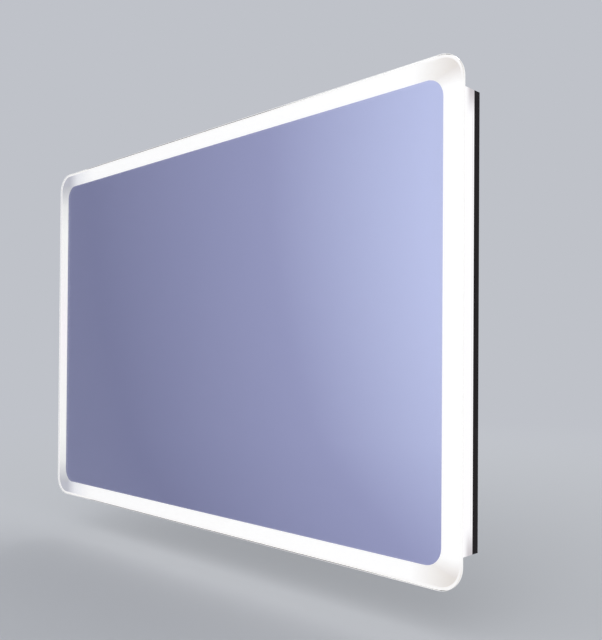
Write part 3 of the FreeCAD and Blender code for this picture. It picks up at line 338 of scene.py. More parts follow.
@dataclass(frozen=True)
class OpalAcrylic(Finish):
    """Extruded opal acrylic, lit from inside: even white that fades towards the closed ends of the
    bar, a line of painted shade along its snap groove and faint die lines."""

    grain: Grain = Grain.ALONG_Z
    end: float = 259.0  # from the middle of the bar
    fade: float = 34.0  # how far the ends' shade reaches
    shaded: Pair = (19.0, 30.0)  # where that shade ends, ahead of Y = 0
    groove: float = 15.5  # its place, ahead of Y = 0
    groove_reach: Pair = (0.5, 1.2)
    groove_shade: float = 0.35
    line: float = 0.6  # the pitch of the die lines
    relief: float = 0.15
    lit: str = "#FFFDFE"
    # the painted shade of the glow, towards the closed ends and along the groove
    dull: str = "#B9B1B4"
    streaks: Pair = (0.97, 1.0)  # the dimmest and brightest die line
    strength: float = 0.77

    def pattern(self, add: Add, place: Node) -> Inputs:
        """Makes the light from inside and the die lines.

        Args:
            add: adds a node to the material.
            place: gives each point, in millimetres.
        Returns:
            The shader's inputs that it sets.
        """
        axes = add("SeparateXYZ", {0: place})
        above = add("Math", {0: axes.outputs[2], 1: CENTRE_Z / MM}, operation="SUBTRACT")
        run = add("Math", {0: above if self.grain is Grain.ALONG_Z else axes}, operation="ABSOLUTE")
        near_end = add("MapRange", {"Value": run, "From Min": self.end - self.fade,
                                    "From Max": self.end}, interpolation_type="SMOOTHSTEP")
        off = add("Math", {0: axes.outputs[1], 1: -1.0}, operation="MULTIPLY")
        low = add("MapRange", {"Value": off, "From Min": self.shaded[0], "From Max": self.shaded[1],
                               "To Min": 1.0, "To Max": 0.0}, interpolation_type="SMOOTHSTEP")
        ends = add("Math", {0: near_end, 1: low}, operation="MULTIPLY")
        past = add("Math", {0: off, 1: self.groove}, operation="SUBTRACT")
        seam = add("MapRange", {"Value": add("Math", {0: past}, operation="ABSOLUTE"),
                                "From Min": self.groove_reach[0], "From Max": self.groove_reach[1],
                                "To Min": self.groove_shade, "To Max": 0.0})
        shade = add("Math", {0: ends, 1: seam}, operation="MAXIMUM")
        glow = add("Mix", {"Factor": shade, A: self.lit, B: self.dull}, data_type="RGBA")
        along = add("VectorMath", {0: place, 1: self.grain.value}, operation="MULTIPLY")
        lines = add("TexNoise", {"Vector": along, "Scale": 1 / self.line})
        speck = add("MapRange", {"Value": lines, "To Min": self.streaks[0],
                                 "To Max": self.streaks[1]})
        light = add("VectorMath", {0: glow.outputs[MIXED], "Scale": speck}, operation="SCALE")
        bump = add("Bump", {"Strength": self.relief, "Distance": BUMP_REACH, "Height": lines})
        return {"Emission Color": light, "Emission Strength": self.strength, "Normal": bump}


@dataclass(frozen=True)
class DrawnMetal(Finish):
    """Metal with fine lines from the die, the rolls or the tool: profiles and plated screws."""

    grain: Grain = Grain.NONE
    pitch: float = 0.6  # of the lines
    depth: float = 0.12
    worn: str = "#5A5658"
    cloud: float = 33.0  # the size of a duller patch
    patchy: Pair = (0.62, 0.9)  # how much of the surface is in patches
    wear: float = 0.3

    def pattern(self, add: Add, place: Node) -> Inputs:
        """Makes the lines and a faint unevenness of the finish.

        Args:
            add: adds a node to the material.
            place: gives each point, in millimetres.
        Returns:
            The shader's inputs that it sets.
        """
        along = add("VectorMath", {0: place, 1: self.grain.value}, operation="MULTIPLY")
        lines = add("TexNoise", {"Vector": along, "Scale": 1 / self.pitch, "Detail": 5.0})
        cloud = add("TexNoise", {"Vector": place, "Scale": 1 / self.cloud, "Detail": 3.0})
        wear = add("MapRange", {"Value": cloud, "From Min": self.patchy[0],
                                "From Max": self.patchy[1], "To Max": self.wear})
        tone = add("Mix", {"Factor": wear, A: self.colour, B: self.worn}, data_type="RGBA")
        rough = add("MapRange", {"Value": lines, "To Min": self.roughness - SHINIER,
                                 "To Max": self.roughness + DULLER})
        bump = add("Bump", {"Strength": self.depth, "Distance": BUMP_REACH, "Height": lines})
        return {"Base Color": tone.outputs[MIXED], "Metallic": 1.0, "Roughness": rough,
                "Normal": bump}


@dataclass(frozen=True)
class GalvanisedSteel(Finish):
    """Hot-dip galvanised sheet: soft-edged zinc crystals of 3 to 8 mm, each a little lighter or
    duller than the next."""

    crystal: float = 5.0
    frond: float = 2.9  # the size of a frond inside a crystal
    bend: float = 0.35  # how far the fronds bend its edges
    fern: float = 0.45  # their share of its tone
    relief: float = 0.1
    dull: str = "#A3A8AB"
    brighter: float = 0.1  # in roughness, at the clearest crystal
    cloudier: float = 0.15

    def pattern(self, add: Add, place: Node) -> Inputs:
        """Makes the zinc crystals.

        Args:
            add: adds a node to the material.
            place: gives each point, in millimetres.
        Returns:
            The shader's inputs that it sets.
        """
        fern = add("TexNoise", {"Vector": place, "Scale": 1 / self.frond, "Detail": 6.0,
                                "Distortion": 1.2})
        bent = add("MixRGB", {0: self.bend, 1: place, 2: fern.outputs["Color"]}, blend_type="ADD")
        cells = add("TexVoronoi", {"Vector": bent, "Scale": 1 / self.crystal, "Smoothness": 0.25},
                    feature="SMOOTH_F1")
        shade = add("SeparateColor", {0: cells.outputs["Color"]})
        mixed = add("Mix", {0: self.fern, 2: shade, 3: fern})
        tone = add("Mix", {"Factor": mixed, A: self.dull, B: self.colour}, data_type="RGBA")
        rough = add("MapRange", {"Value": mixed, "To Min": self.roughness - self.brighter,
                                 "To Max": self.roughness + self.cloudier})
        bump = add("Bump", {"Strength": self.relief, "Distance": BUMP_REACH, "Height": fern})
        return {"Base Color": tone.outputs[MIXED], "Metallic": 1.0, "Roughness": rough,
                "Normal": bump}


@dataclass(frozen=True)
class GrainedSkin(Finish):
    """A non-metal skin with an even grain: moulded plastic, powder coat, rubber, foam or board."""

    grain: float = 0.8
    depth: float = 0.2
    shade: str = BLACK
    mottle: float = 0.15  # the share of the shade at its strongest
    cells: bool = False  # open cells instead of a grain
    drift: float = 50.0  # the size of a change of tone

    def pattern(self, add: Add, place: Node) -> Inputs:
        """Makes the grain and a slow drift of colour.

        Args:
            add: adds a node to the material.
            place: gives each point, in millimetres.
        Returns:
            The shader's inputs that it sets.
        """
        fine = {"Vector": place, "Scale": 1 / self.grain}
        grain = add("TexVoronoi", fine) if self.cells else add("TexNoise", fine | {"Detail": 4.0})
        drift = add("TexNoise", {"Vector": place, "Scale": 1 / self.drift, "Detail": 3.0})
        blend = add("Math", {0: drift, 1: grain}, operation="MULTIPLY")
        amount = add("MapRange", {"Value": blend, "From Max": 0.6, "To Max": self.mottle})
        tone = add("Mix", {"Factor": amount, A: self.colour, B: self.shade}, data_type="RGBA")
        rough = add("MapRange", {"Value": grain, "To Min": self.roughness - SHINIER,
                                 "To Max": self.roughness + DULLER})
        bump = add("Bump", {"Strength": self.depth, "Distance": BUMP_REACH, "Height": grain})
        return {"Base Color": tone.outputs[MIXED], "Roughness": rough, "Normal": bump}


@dataclass(frozen=True)
class LedWindow(Finish):
    """The phosphor window of a white LED, lit."""

    grain: float = 0.25
    warm: str = "#FFF4D8"
    cool: str = "#FFFFFF"

    def pattern(self, add: Add, place: Node) -> Inputs:
        """Makes the phosphor's grain and its light.

        Args:
            add: adds a node to the material.
            place: gives each point, in millimetres.
        Returns:
            The shader's inputs that it sets.
        """
        grain = add("TexNoise", {"Vector": place, "Scale": 1 / self.grain, "Detail": 3.0})
        glow = add("Mix", {"Factor": grain, A: self.warm, B: self.cool}, data_type="RGBA")
        return {"Emission Color": glow.outputs[MIXED], "Emission Strength": 1.0}


@dataclass(frozen=True)
class StudioFloor(Finish):
    """A matt pale floor that takes the object's shadow, and fades into the backdrop further out."""

    backdrop: str = "#BFC2C9"
    near: float = 1000.0
    far: float = 3200.0

    def pattern(self, add: Add, place: Node) -> Inputs:
        """Makes the fade into the backdrop.

        Args:
            add: adds a node to the material.
            place: gives each point, in millimetres.
        Returns:
            The shader's inputs that it sets.
        """
        away = add("VectorMath", {0: place}, operation="LENGTH").outputs["Value"]
        fade = add("MapRange", {"Value": away, "From Min": self.near, "From Max": self.far},
                   interpolation_type="SMOOTHSTEP")
        floor, air = (add("Mix", {"Factor": fade, A: near, B: far}, data_type="RGBA").outputs[MIXED]
                      for near, far in ((self.colour, BLACK), (BLACK, self.backdrop)))
        return {"Base Color": floor, "Emission Color": air, "Emission Strength": 1.0,
                "Specular IOR Level": 0.0}


# The finishes of this mirror, each named for the real material and how its surface was made. After
# the name, colour and roughness, a metal has its lines' direction, pitch and depth and its worn
# colour, and a skin has its grain in millimetres, its depth, its shade and how much of it shows.
# Float glass, ground and polished at its edge: clear, with a bright and slightly streaky edge.
GLASS = FloatGlass("polished_float_glass", "#FBFDFC", 0.0)
# Silver laid on the glass chemically: a clean mirror, tinted a little cool as a painted reflection
# of the cool room around it. Its back is sprayed flat grey.
SILVER = SilverCoat("silvered_back_coat", "#EAEBF5", 0.015)
# Sandblasting leaves a fine white matt skin that glows where light comes from behind.
BLASTED = BlastedBand("sandblasted_lit_glass", "#818488", 0.6)
# Extruded opal acrylic spreads the LEDs' light to an even white, with faint lines from its die.
OPAL_SIDE = OpalAcrylic("opal_acrylic_side_cover", "#9C9B9A", 0.35)
OPAL_LEVEL = OpalAcrylic("opal_acrylic_level_cover", "#9C9B9A", 0.35, Grain.ALONG_X, 409.0)
# Black anodising leaves the die lines of the profile showing as a soft lengthwise sheen.
PROFILE_SIDE = DrawnMetal("black_anodised_side_profile", "#261F20", 0.42, Grain.ALONG_Z)
PROFILE_LEVEL = DrawnMetal("black_anodised_level_profile", "#261F20", 0.42, Grain.ALONG_X)
# Injection-moulded ABS: satin white, very slightly yellow, even all over.
PLUG = GrainedSkin("moulded_white_end_plug", "#E6E4E0", 0.45, 0.7, 0.15, "#B9B4AC")
# Powder coat melts into an orange-peel skin of 1 to 2 mm waves, satin under a raking light.
POWDER = GrainedSkin("black_powder_coated_sheet", "#1F2022", 0.46, 1.8, 0.6, "#34363A", 0.5)
# Hot-dip zinc on steel sheet: pale grey with a soft spangle.
ZINC_SHEET = GalvanisedSteel("galvanised_sheet", "#C3C8CB", 0.38)
# Electroplated zinc over a headed screw: bright, bluish, yellowing a little.
ZINC_SCREW = DrawnMetal("zinc_plated_screw", "#B9BDC2", 0.28, Grain.NONE, 0.4, 0.2, "#8E8B80")
# Bare drawn aluminium: brighter and whiter than zinc.
RIVET = DrawnMetal("bright_aluminium_rivet", "#D5D7D8", 0.3, Grain.NONE, 0.5, 0.15, "#A9ABAC")
# Polycarbonate moulded in a spark-eroded tool: a fine even grain, satin. The lid is dyed grey.
WHITE_CASE = GrainedSkin("moulded_white_case", "#E4E4E1", 0.48, 0.9, 0.2, "#B7B6B0")
GREY_CASE = GrainedSkin("moulded_grey_lid", "#8B8F92", 0.5, 0.9, 0.25, "#6E7174", 0.3)
# Nylon and epoxy mouldings: near black, satin, slightly greyed at the grain.
BLACK_PART = GrainedSkin("moulded_black_part", "#1A1A1B", 0.45, 0.8, 0.2, "#303032", 0.4)
# Glass-fibre board under solder mask: glossy, its weave just showing. The LED strips' is white.
BOARD = GrainedSkin("green_circuit_board", "#1E5A3C", 0.35, 0.5, 0.1, "#123A27", 0.4)
LED_BOARD = GrainedSkin("white_led_board", "#EFEFEA", 0.4, 0.6, 0.1, "#D6C9A6", 0.2)
# Phosphor in silicone, lit: warm at its grain, white between. Its housing is white plastic.
LED = LedWindow("lit_phosphor_window", "#F3E2A0", 0.35)
LED_HOUSING = GrainedSkin("moulded_led_housing", "#EDEBE4", 0.4, 0.3, 0.1, "#D9D4C6", 0.3)
# Solder levelled by hot air: bright and a little lumpy.
TINNED = DrawnMetal("tinned_solder_pad", "#C6C8CB", 0.3, Grain.NONE, 0.3, 0.2, "#A5A39A")
# Screw terminals in dyed polyamide, a winding under glossy polyester tape, and a film capacitor
# dipped in epoxy.
TERMINAL = GrainedSkin("moulded_green_terminal", "#2E7D4A", 0.42, 0.6, 0.15, "#1F5A34", 0.3)
WINDING_TAPE = GrainedSkin("wound_polyester_tape", "#D9B43C", 0.25, 2.0, 0.12, "#B98F25", 0.4)
FILM_CAPACITOR = GrainedSkin("dipped_film_capacitor", "#B5432F", 0.3, 0.8, 0.12, "#8A2F20", 0.3)
# The bare pressed aluminium end of an electrolytic can: bright, with fine tool marks.
CAN_TOP = DrawnMetal("pressed_aluminium_can_top", "#C9CBCD", 0.32, Grain.NONE, 0.5, 0.15, "#9FA1A2")
# Closed-cell foams: matt, with cells of 1 to 2 mm open at the cut faces.
TAPE = GrainedSkin("black_foam_tape", "#38383A", 0.85, 1.4, 0.5, "#252526", 0.5, True)
PAD = GrainedSkin("grey_foam_pad", "#6B6E70", 0.9, 1.6, 0.6, "#4B4D4F", 0.6, True)
# Rubber moulded in a blasted tool: dull black.
RUBBER = GrainedSkin("moulded_black_rubber", "#1B1B1C", 0.62, 0.5, 0.2, "#3A3A3B", 0.35)
# PVC drawn over the wires: smooth, satin, very slightly cream.
SHEATH = GrainedSkin("drawn_white_sheath", "#E9E8E4", 0.42, 0.9, 0.12, "#C9C7C0", 0.3)
# Polyethylene film over a scrim of 2 mm: satin, with the scrim just showing through.
FILM = GrainedSkin("grey_safety_film", "#A9ADB0", 0.35, 2.2, 0.3, "#8D9194", 0.5, True)


def new_piece(name: str, bm: Mesh, finishes: tuple[Finish, ...], stands_for: tuple[str, ...] = (),
              body: str = UNIT, sharp_at: float = 35.0) -> bpy.types.Object:
    """Makes a finished piece of a mesh, in place.

    Args:
        name: of the piece.
        bm: its mesh, in metres, which is used up.
        finishes: one for each material slot of the mesh.
        stands_for: the CAD nodes that it replaces.
        body: the body that it moves with.
        sharp_at: the angle between faces, in degrees, from which an edge looks sharp.
    Returns:
        The new object.
    """
    mesh = bpy.data.meshes.new(name)
    bm.to_mesh(mesh)
    bm.free()
    mesh.shade_smooth()
    mesh.set_sharp_from_angle(angle=math.radians(sharp_at))
    for finish in finishes:
        mesh.materials.append(finish.material())
    piece = bpy.data.objects.new(name, mesh)
    bpy.context.scene.collection.objects.link(piece)
    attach(piece, body)
    if stands_for:
        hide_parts(*stands_for)
    LOG.info("%s: %d faces", name, len(mesh.polygons))
    return piece


def break_edges(bm: Mesh, geom: list, width: float, segments: int, affect: str = "EDGES",
                clamp: bool = False) -> None:
    """Rounds edges or corners.

    Args:
        bm: their mesh.
        geom: the edges, or the vertices of the corners.
        width: of the rounding, in millimetres.
        segments: across it.
        affect: "EDGES" or "VERTICES".
        clamp: whether roundings stop where they meet.
    """
    bmesh.ops.bevel(bm, geom=geom, offset=width * MM, offset_type="OFFSET", segments=segments,
                    affect=affect, profile=0.5, material=-1, clamp_overlap=clamp)


def softened_mesh(node: str, width: float, shortest: float = 0.0) -> Mesh:
    """Copies a CAD node's mesh and breaks its sharp edges, as the die or the mould leaves them.

    Args:
        node: the CAD node.
        width: of the broken edge, in millimetres.
        shortest: the length of edge, in millimetres, that stays sharp.
    Returns:
        The new mesh.
    """
    bm = bmesh.new()
    bm.from_mesh(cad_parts[node].data)
    bmesh.ops.remove_doubles(bm, verts=bm.verts, dist=MM / 1000)
    bmesh.ops.dissolve_limit(bm, angle_limit=FLAT, verts=bm.verts, edges=bm.edges)
    break_edges(bm, [edge for edge in bm.edges if edge.calc_face_angle(0.0) > SHARP
                     and edge.calc_length() > shortest * MM], width, 2, clamp=True)
    return bm


def softened(node: str, finish: Finish, width: float, shortest: float = 0.0,
             body: str = UNIT) -> bpy.types.Object:
    """Makes a CAD node again with its sharp edges broken.

    Args:
        node: the CAD node.
        finish: of the whole piece.
        width: of the broken edge, in millimetres.
        shortest: the length of edge, in millimetres, that stays sharp.
        body: the body that it moves with.
    Returns:
        The new object.
    """
    return new_piece(f"{node}_piece", softened_mesh(node, width, shortest), (finish,), (node,),
                     body=body, sharp_at=20.0)


def rounded_loop(bm: Mesh, width: float, height: float, radius: float, off: float,
                 segments: int = 24, centre: Pair = (0.0, 0.0)) -> Face:
    """Adds a flat rounded rectangle that faces forward.

    Args:
        bm: the mesh that it is added to.
        width: in millimetres.
        height: in millimetres.
        radius: of its corners.
        off: how far it stands ahead of Y = 0.
        segments: in each corner.
        centre: its place right of and above the middle of the mirror.
    Returns:
        Its face.
    """
    corners = bmesh.ops.create_grid(bm, x_segments=1, y_segments=1, size=0.5,
                                    matrix=Matrix.Rotation(math.pi / 2, 4, "X"))["verts"]
    spot = (centre[0] * MM, -off * MM, centre[1] * MM + CENTRE_Z)
    bmesh.ops.transform(bm, verts=corners, matrix=Matrix.Translation(spot)
                        @ Matrix.Diagonal((width * MM, 1, height * MM, 1)))
    before = set(bm.faces)
    face = corners[0].link_faces[0]
    break_edges(bm, corners, radius, segments, "VERTICES")
    return face if face.is_valid else next(iter(set(bm.faces) - before))


def bridge(bm: Mesh, faces: list[Face]) -> None:
    """Joins flat outlines in order into a shell that the first and the last of them close.

    Args:
        bm: their mesh.
        faces: the outlines.
    """
    rings = [list(face.edges) for face in faces]
    bmesh.ops.delete(bm, geom=faces[1:-1], context="FACES_ONLY")
    for first, second in zip(rings, rings[1:]):
        bmesh.ops.bridge_loops(bm, edges=first + second)


@dataclass
class GlassPane:
    """The plate of glass with what is sprayed, blasted and stuck on its back."""

    width: float = 900.0
    height: float = 600.0
    corner: float = 31.0
    front: float = 38.0
    back: float = 33.0
    arris: float = 0.6
    clear_width: float = 845.0
    clear_height: float = 551.0
    clear_corner: float = 23.0
    layers: dict[str, Finish] = field(default_factory=lambda: {
        "mirror_silvering": SILVER, "frosted_band": BLASTED, "safety_film": FILM,
        "bonding_tape": TAPE})

    def dress(self) -> None:
        """Gives the layers their finishes."""
        for node, finish in self.layers.items():
            finish.dress(node)

    def build(self) -> None:
        """Makes the plate again with its blasted border as part of the glass, so that the light
        from the border runs into the polished edge, as it does in the real one."""
        bm = bmesh.new()
        narrow = (self.width - 2 * self.arris, self.height - 2 * self.arris,
                  self.corner - self.arris)
        full = (self.width, self.height, self.corner)
        clear = (self.clear_width, self.clear_height, self.clear_corner)
        # The clear area is drawn behind the plate at first, so that it joins the border untwisted.
        layers = ((narrow, self.front), (full, self.front - self.arris),
                  (full, self.back + self.arris), (narrow, self.back), (clear, 0.0))
        faces = [rounded_loop(bm, *shape, off) for shape, off in layers]
        bridge(bm, faces)
        bmesh.ops.translate(bm, verts=faces[-1].verts, vec=(0, -self.back * MM, 0))
        bmesh.ops.recalc_face_normals(bm, faces=bm.faces)
        widest = (self.clear_width * MM / 2) ** 2  # above any face of the border
        for face in bm.faces:
            off = abs(face.calc_center_median().y + self.back * MM)
            is_border = face.normal.y > FACING and face.calc_area() < widest and off < MM / 10
            face.material_index = int(is_border)
        new_piece("glass_pane", bm, (GLASS, BLASTED), ("glass_plate",))


@dataclass
class LightBar:
    """One light bar: the black profile, its opal cover, and the LED strip inside.

    Small parts have their sizes along the bar, in height and across."""

    side: Side
    strip_face: float = 3.2  # ahead of Y = 0
    chip: Triple = (3.5, 0.8, 2.8)
    chip_round: float = 0.35
    chip_wall: float = 0.45
    chip_pitch: float = 16.6
    window_slope: float = 0.1
    window_depth: float = 0.2
    resistor: Triple = (2.0, 0.5, 1.25)
    resistor_body: float = 0.3  # the share from its middle to a tinned end
    pad: Triple = (1.6, 0.06, 2.2)
    pad_round: float = 0.5
    pad_gap: float = 4.0  # from halfway between two LEDs
    group: int = 3  # LEDs to a resistor
    offset: float = 3.2  # of resistors and pads, outwards from the strip's middle line

    @property
    def length(self) -> float:
        """How far the row of LEDs reaches, in millimetres."""
        low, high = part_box(f"led_chips_{self.side.value}")
        return (high[0] - low[0] if self.side.is_level else high[2] - low[2]) / MM

    def dress(self) -> None:
        """Gives the bar's nodes their finishes, and breaks the sharp edges of the profile."""
        name = self.side.value
        is_level = self.side.is_level
        profile, opal = (PROFILE_LEVEL, OPAL_LEVEL) if is_level else (PROFILE_SIDE, OPAL_SIDE)
        softened(f"channel_{name}", profile, width=0.3, shortest=20.0)
        opal.dress(f"diffuser_{name}")
        LED_BOARD.dress(f"led_strip_{name}")
        SHEATH.dress(f"lead_{name}")

    def block(self, size: Triple, corner: float = 0.0, segments: int = 2) -> Mesh:
        """Starts a mesh with a block that stands on the origin and rises forward.

        Args:
            size: along X, in height, and along Z, in millimetres.
            corner: the radius of its four corners.
            segments: in each of them.
        Returns:
            The mesh.
        """
        bm = bmesh.new()
        long, high, wide = (value * MM for value in size)
        bmesh.ops.create_cube(bm, size=1.0, matrix=Matrix.Translation((0, -high / 2, 0))
                              @ Matrix.Diagonal((long, high, wide, 1)))
        if corner:
            upright = [edge for edge in bm.edges
                       if abs(edge.verts[0].co.y - edge.verts[1].co.y) > high / 2]
            break_edges(bm, upright, corner, segments)
        return bm

    def lay(self, bm: Mesh, start: float, across: float, step: float, count: int) -> None:
        """Lays what stands at the origin, along X, in a row along the strip.

        Args:
            bm: the mesh.
            start: the place of the first along the bar, in millimetres.
            across: its place across the strip, outwards from the strip's middle line.
            step: the distance to the next.
            count: how many there are.
        """
        low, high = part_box(f"led_chips_{self.side.value}")
        if self.side.is_level:
            turn, run = Matrix.Identity(4), Vector((1, 0, 0))
            first = Vector((low[0] + start * MM, 0, (low[2] + high[2]) / 2))
        else:
            turn, run = Matrix.Rotation(-math.pi / 2, 4, "Y"), Vector((0, 0, 1))
            first = Vector(((low[0] + high[0]) / 2, 0, low[2] + start * MM))
        spot = first + self.side.outwards * across * MM - Vector((0, self.strip_face * MM, 0))
        bmesh.ops.transform(bm, verts=bm.verts, matrix=Matrix.Translation(spot) @ turn)
        bmesh.ops.spin(bm, geom=bm.verts[:] + bm.edges[:] + bm.faces[:], axis=(0, 0, 1), angle=0.0,
                       dvec=run * step * MM, steps=count - 1, use_duplicate=True)

    def build_chips(self) -> None:
        """Makes the LEDs: a white housing with its phosphor window sunk in the front."""
        bm = self.block(self.chip, self.chip_round)
        front = [face for face in bm.faces if face.normal.y < -FACING]
        bmesh.ops.inset_region(bm, faces=front, thickness=self.chip_wall * MM)
        bmesh.ops.inset_region(bm, faces=front, thickness=self.window_slope * MM,
                               depth=-self.window_depth * MM)
        front[0].material_index = 1
        long = self.chip[0]
        self.lay(bm, long / 2, 0.0, self.chip_pitch,
                 round((self.length - long) / self.chip_pitch) + 1)
        name = self.side.value
        new_piece(f"led_packages_{name}", bm, (LED_HOUSING, LED), (f"led_chips_{name}",))

    def build_strip_parts(self) -> None:
        """Makes the strip's resistors with their tinned ends, and the bare solder pads between."""
        step = self.group * self.chip_pitch
        count = int((self.length - self.chip_pitch) // step)
        bm = self.block(self.resistor)
        cut = self.resistor_body * self.resistor[0] * MM
        for end in (-cut, cut):
            bmesh.ops.bisect_plane(bm, geom=bm.verts[:] + bm.edges[:] + bm.faces[:],
                                   plane_co=(end, 0, 0), plane_no=(1, 0, 0))
        for face in bm.faces:
            face.material_index = int(abs(face.calc_center_median().x) > cut)
        self.lay(bm, self.chip_pitch, self.offset, step, count)
        name = self.side.value
        new_piece(f"strip_resistors_{name}", bm, (BLACK_PART, TINNED))
        pads = self.block(self.pad, self.pad_round, segments=3)
        self.lay(pads, self.chip_pitch * 1.5 + self.pad_gap, self.offset, step, count)
        new_piece(f"strip_pads_{name}", pads, (TINNED,))

    def build(self) -> None:
        """Builds the strip's small parts."""
        self.build_chips()
        self.build_strip_parts()


@dataclass
class Carrier:
    """The sheet-steel back and everything that it hangs by."""

    plate_off: float = 12.0
    bead_places: tuple[float, ...] = (-300.0, -150.0, 0.0, 150.0, 300.0)
    bead_level: float = -150.0
    bead_length: float = 190.0
    bead_width: float = 14.0
    bead_rise: float = 2.4
    bead_flat: float = 0.05  # half of what stays straight at its end
    # Outlines up the side of a bead: how far in from its foot, and the share of its rise.
    bead_side: tuple[Pair, ...] = ((0.0, -0.2), (0.0, 0.03), (0.9, 0.3), (2.2, 0.8), (3.6, 1.0))
    plug_edge: float = 0.5
    plug_end: float = 300.0  # the least area of a plug's end, in square millimetres
    plug_insets: tuple[Pair, ...] = ((2.2, 0.0), (0.5, -0.9))  # width and height

    def dress(self) -> None:
        """Gives the carrying nodes their finishes, and breaks the sheared edges of the rail."""
        POWDER.dress("back_plate")
        ZINC_SCREW.dress("plate_screws")
        softened("wall_rail", ZINC_SHEET, width=0.4, shortest=8.0, body=RAIL)
        ZINC_SHEET.dress("hanger_left", "hanger_right")
        RIVET.dress("hanger_rivets")
        PAD.dress("wall_pads")

    def build_plugs(self) -> None:
        """Makes the end plugs again with rounded edges and the sunk panel that saves material."""
        bm = softened_mesh("end_plugs", self.plug_edge)
        middle = Vector((0, 0, CENTRE_Z))
        ends = [face for face in bm.faces if face.calc_area() > self.plug_end * MM * MM
                and face.normal.dot(face.calc_center_median() - middle) > 0]
        for width, depth in self.plug_insets:
            bmesh.ops.inset_individual(bm, faces=ends, thickness=width * MM, depth=depth * MM)
        new_piece("end_plug_mouldings", bm, (PLUG,), ("end_plugs",), sharp_at=20.0)

    def build_beads(self) -> None:
        """Presses the stiffening beads of the back plate."""
        bm = bmesh.new()
        for place in self.bead_places:
            bridge(bm, [rounded_loop(bm, self.bead_width - 2 * inset, self.bead_length - 2 * inset,
                                     self.bead_width / 2 - inset - self.bead_flat,
                                     self.plate_off - share * self.bead_rise, segments=8,
                                     centre=(place, self.bead_level))
                        for inset, share in self.bead_side])
        bmesh.ops.recalc_face_normals(bm, faces=bm.faces)
        new_piece("plate_beads", bm, (POWDER,), sharp_at=60.0)

    def build(self) -> None:
        """Builds the plugs and the beads."""
        self.build_plugs()
        self.build_beads()


@dataclass
class PowerSupply:
    """The LED driver, the junction box and the leads between them."""

    # The parts on the driver's board: from and to in X, then from and to in Z.
    terminals: tuple[tuple[float, ...], ...] = ((-183, -171, -149, -111), (-56, -47, -126, -113))
    transformer: tuple[float, ...] = (-130, -101, -142, -118)
    cans: tuple[tuple[float, ...], ...] = ((-145, -133, -128, -116), (-79, -67, -146, -134),
                                           (-98, -88, -139, -129))
    film_capacitor: tuple[float, ...] = (-91, -79, -145, -139)
    winding: Pair = (18.9, 24.3)  # the height of the winding, ahead of Y = 0

    def dress(self) -> None:
        """Gives the electrical nodes their finishes."""
        WHITE_CASE.dress("driver_case", "driver_cover", "junction_box")
        softened("terminal_block", WHITE_CASE, width=0.4, shortest=2.0)
        softened("junction_lid", GREY_CASE, width=0.8)
        BOARD.dress("driver_board")
        softened("lead_clips", BLACK_PART, width=0.3)
        ZINC_SCREW.dress("cover_screws", "driver_screws", "junction_screws")
        RUBBER.dress("cable_grommet")
        SHEATH.dress("mains_lead")

    @staticmethod
    def is_in(face: Face, *windows: tuple[float, ...]) -> bool:
        """Whether the middle of a face lies in one of the windows of the board."""
        spot = face.calc_center_median() / MM
        return any(x0 < spot.x < x1 and z0 < spot.z < z1 for x0, x1, z0, z1 in windows)

    def finish_of(self, face: Face) -> int:
        """Finds the finish of one face of the board's parts.

        Args:
            face: of the softened parts.
        Returns:
            The number of its material slot.
        """
        if self.is_in(face, *self.terminals):
            return 1
        if self.is_in(face, self.transformer):
            low, high = self.winding
            return 2 if low < -face.calc_center_median().y / MM < high else 0
        if self.is_in(face, *self.cans):
            return 3 if face.normal.y < -FACING else 0
        return 4 if self.is_in(face, self.film_capacitor) else 0

    def build(self) -> None:
        """Makes the board's parts: terminals, a taped transformer, cans and a film capacitor."""
        bm = softened_mesh("driver_parts", width=0.4)
        for level in self.winding:
            block = [face for face in bm.faces if self.is_in(face, self.transformer)]
            around = dict.fromkeys(part for face in block for part in (*face.edges, *face.verts))
            bmesh.ops.bisect_plane(bm, geom=block + list(around),
                                   plane_co=(0, -level * MM, 0), plane_no=(0, 1, 0))
        for face in bm.faces:
            face.material_index = self.finish_of(face)
        new_piece("driver_components", bm,
                  (BLACK_PART, TERMINAL, WINDING_TAPE, CAN_TOP, FILM_CAPACITOR),
                  ("driver_parts",), sharp_at=20.0)


@dataclass
class Lamp:
    """A soft square lamp that looks at the middle of the mirror."""

    name: str
    spot: Triple
    size: float
    in_mirror: bool  # whether shiny faces show it
    power: float = 50.0
    colour: str = "#FBFCFF"

    def hang(self) -> None:
        """Hangs the lamp."""
        lamp = bpy.data.lights.new(self.name, "AREA")
        lamp.energy, lamp.size = self.power, self.size
        lamp.color = linear(self.colour)[:3]
        hung = bpy.data.objects.new(self.name, lamp)
        aim = Vector((0, 0, CENTRE_Z)) - Vector(self.spot)
        turn = aim.to_track_quat("-Z", "Y").to_matrix().to_4x4()
        hung.matrix_world = Matrix.Translation(self.spot) @ turn
        hung.visible_glossy = self.in_mirror
        hung.visible_transmission = self.in_mirror
        bpy.context.scene.collection.objects.link(hung)


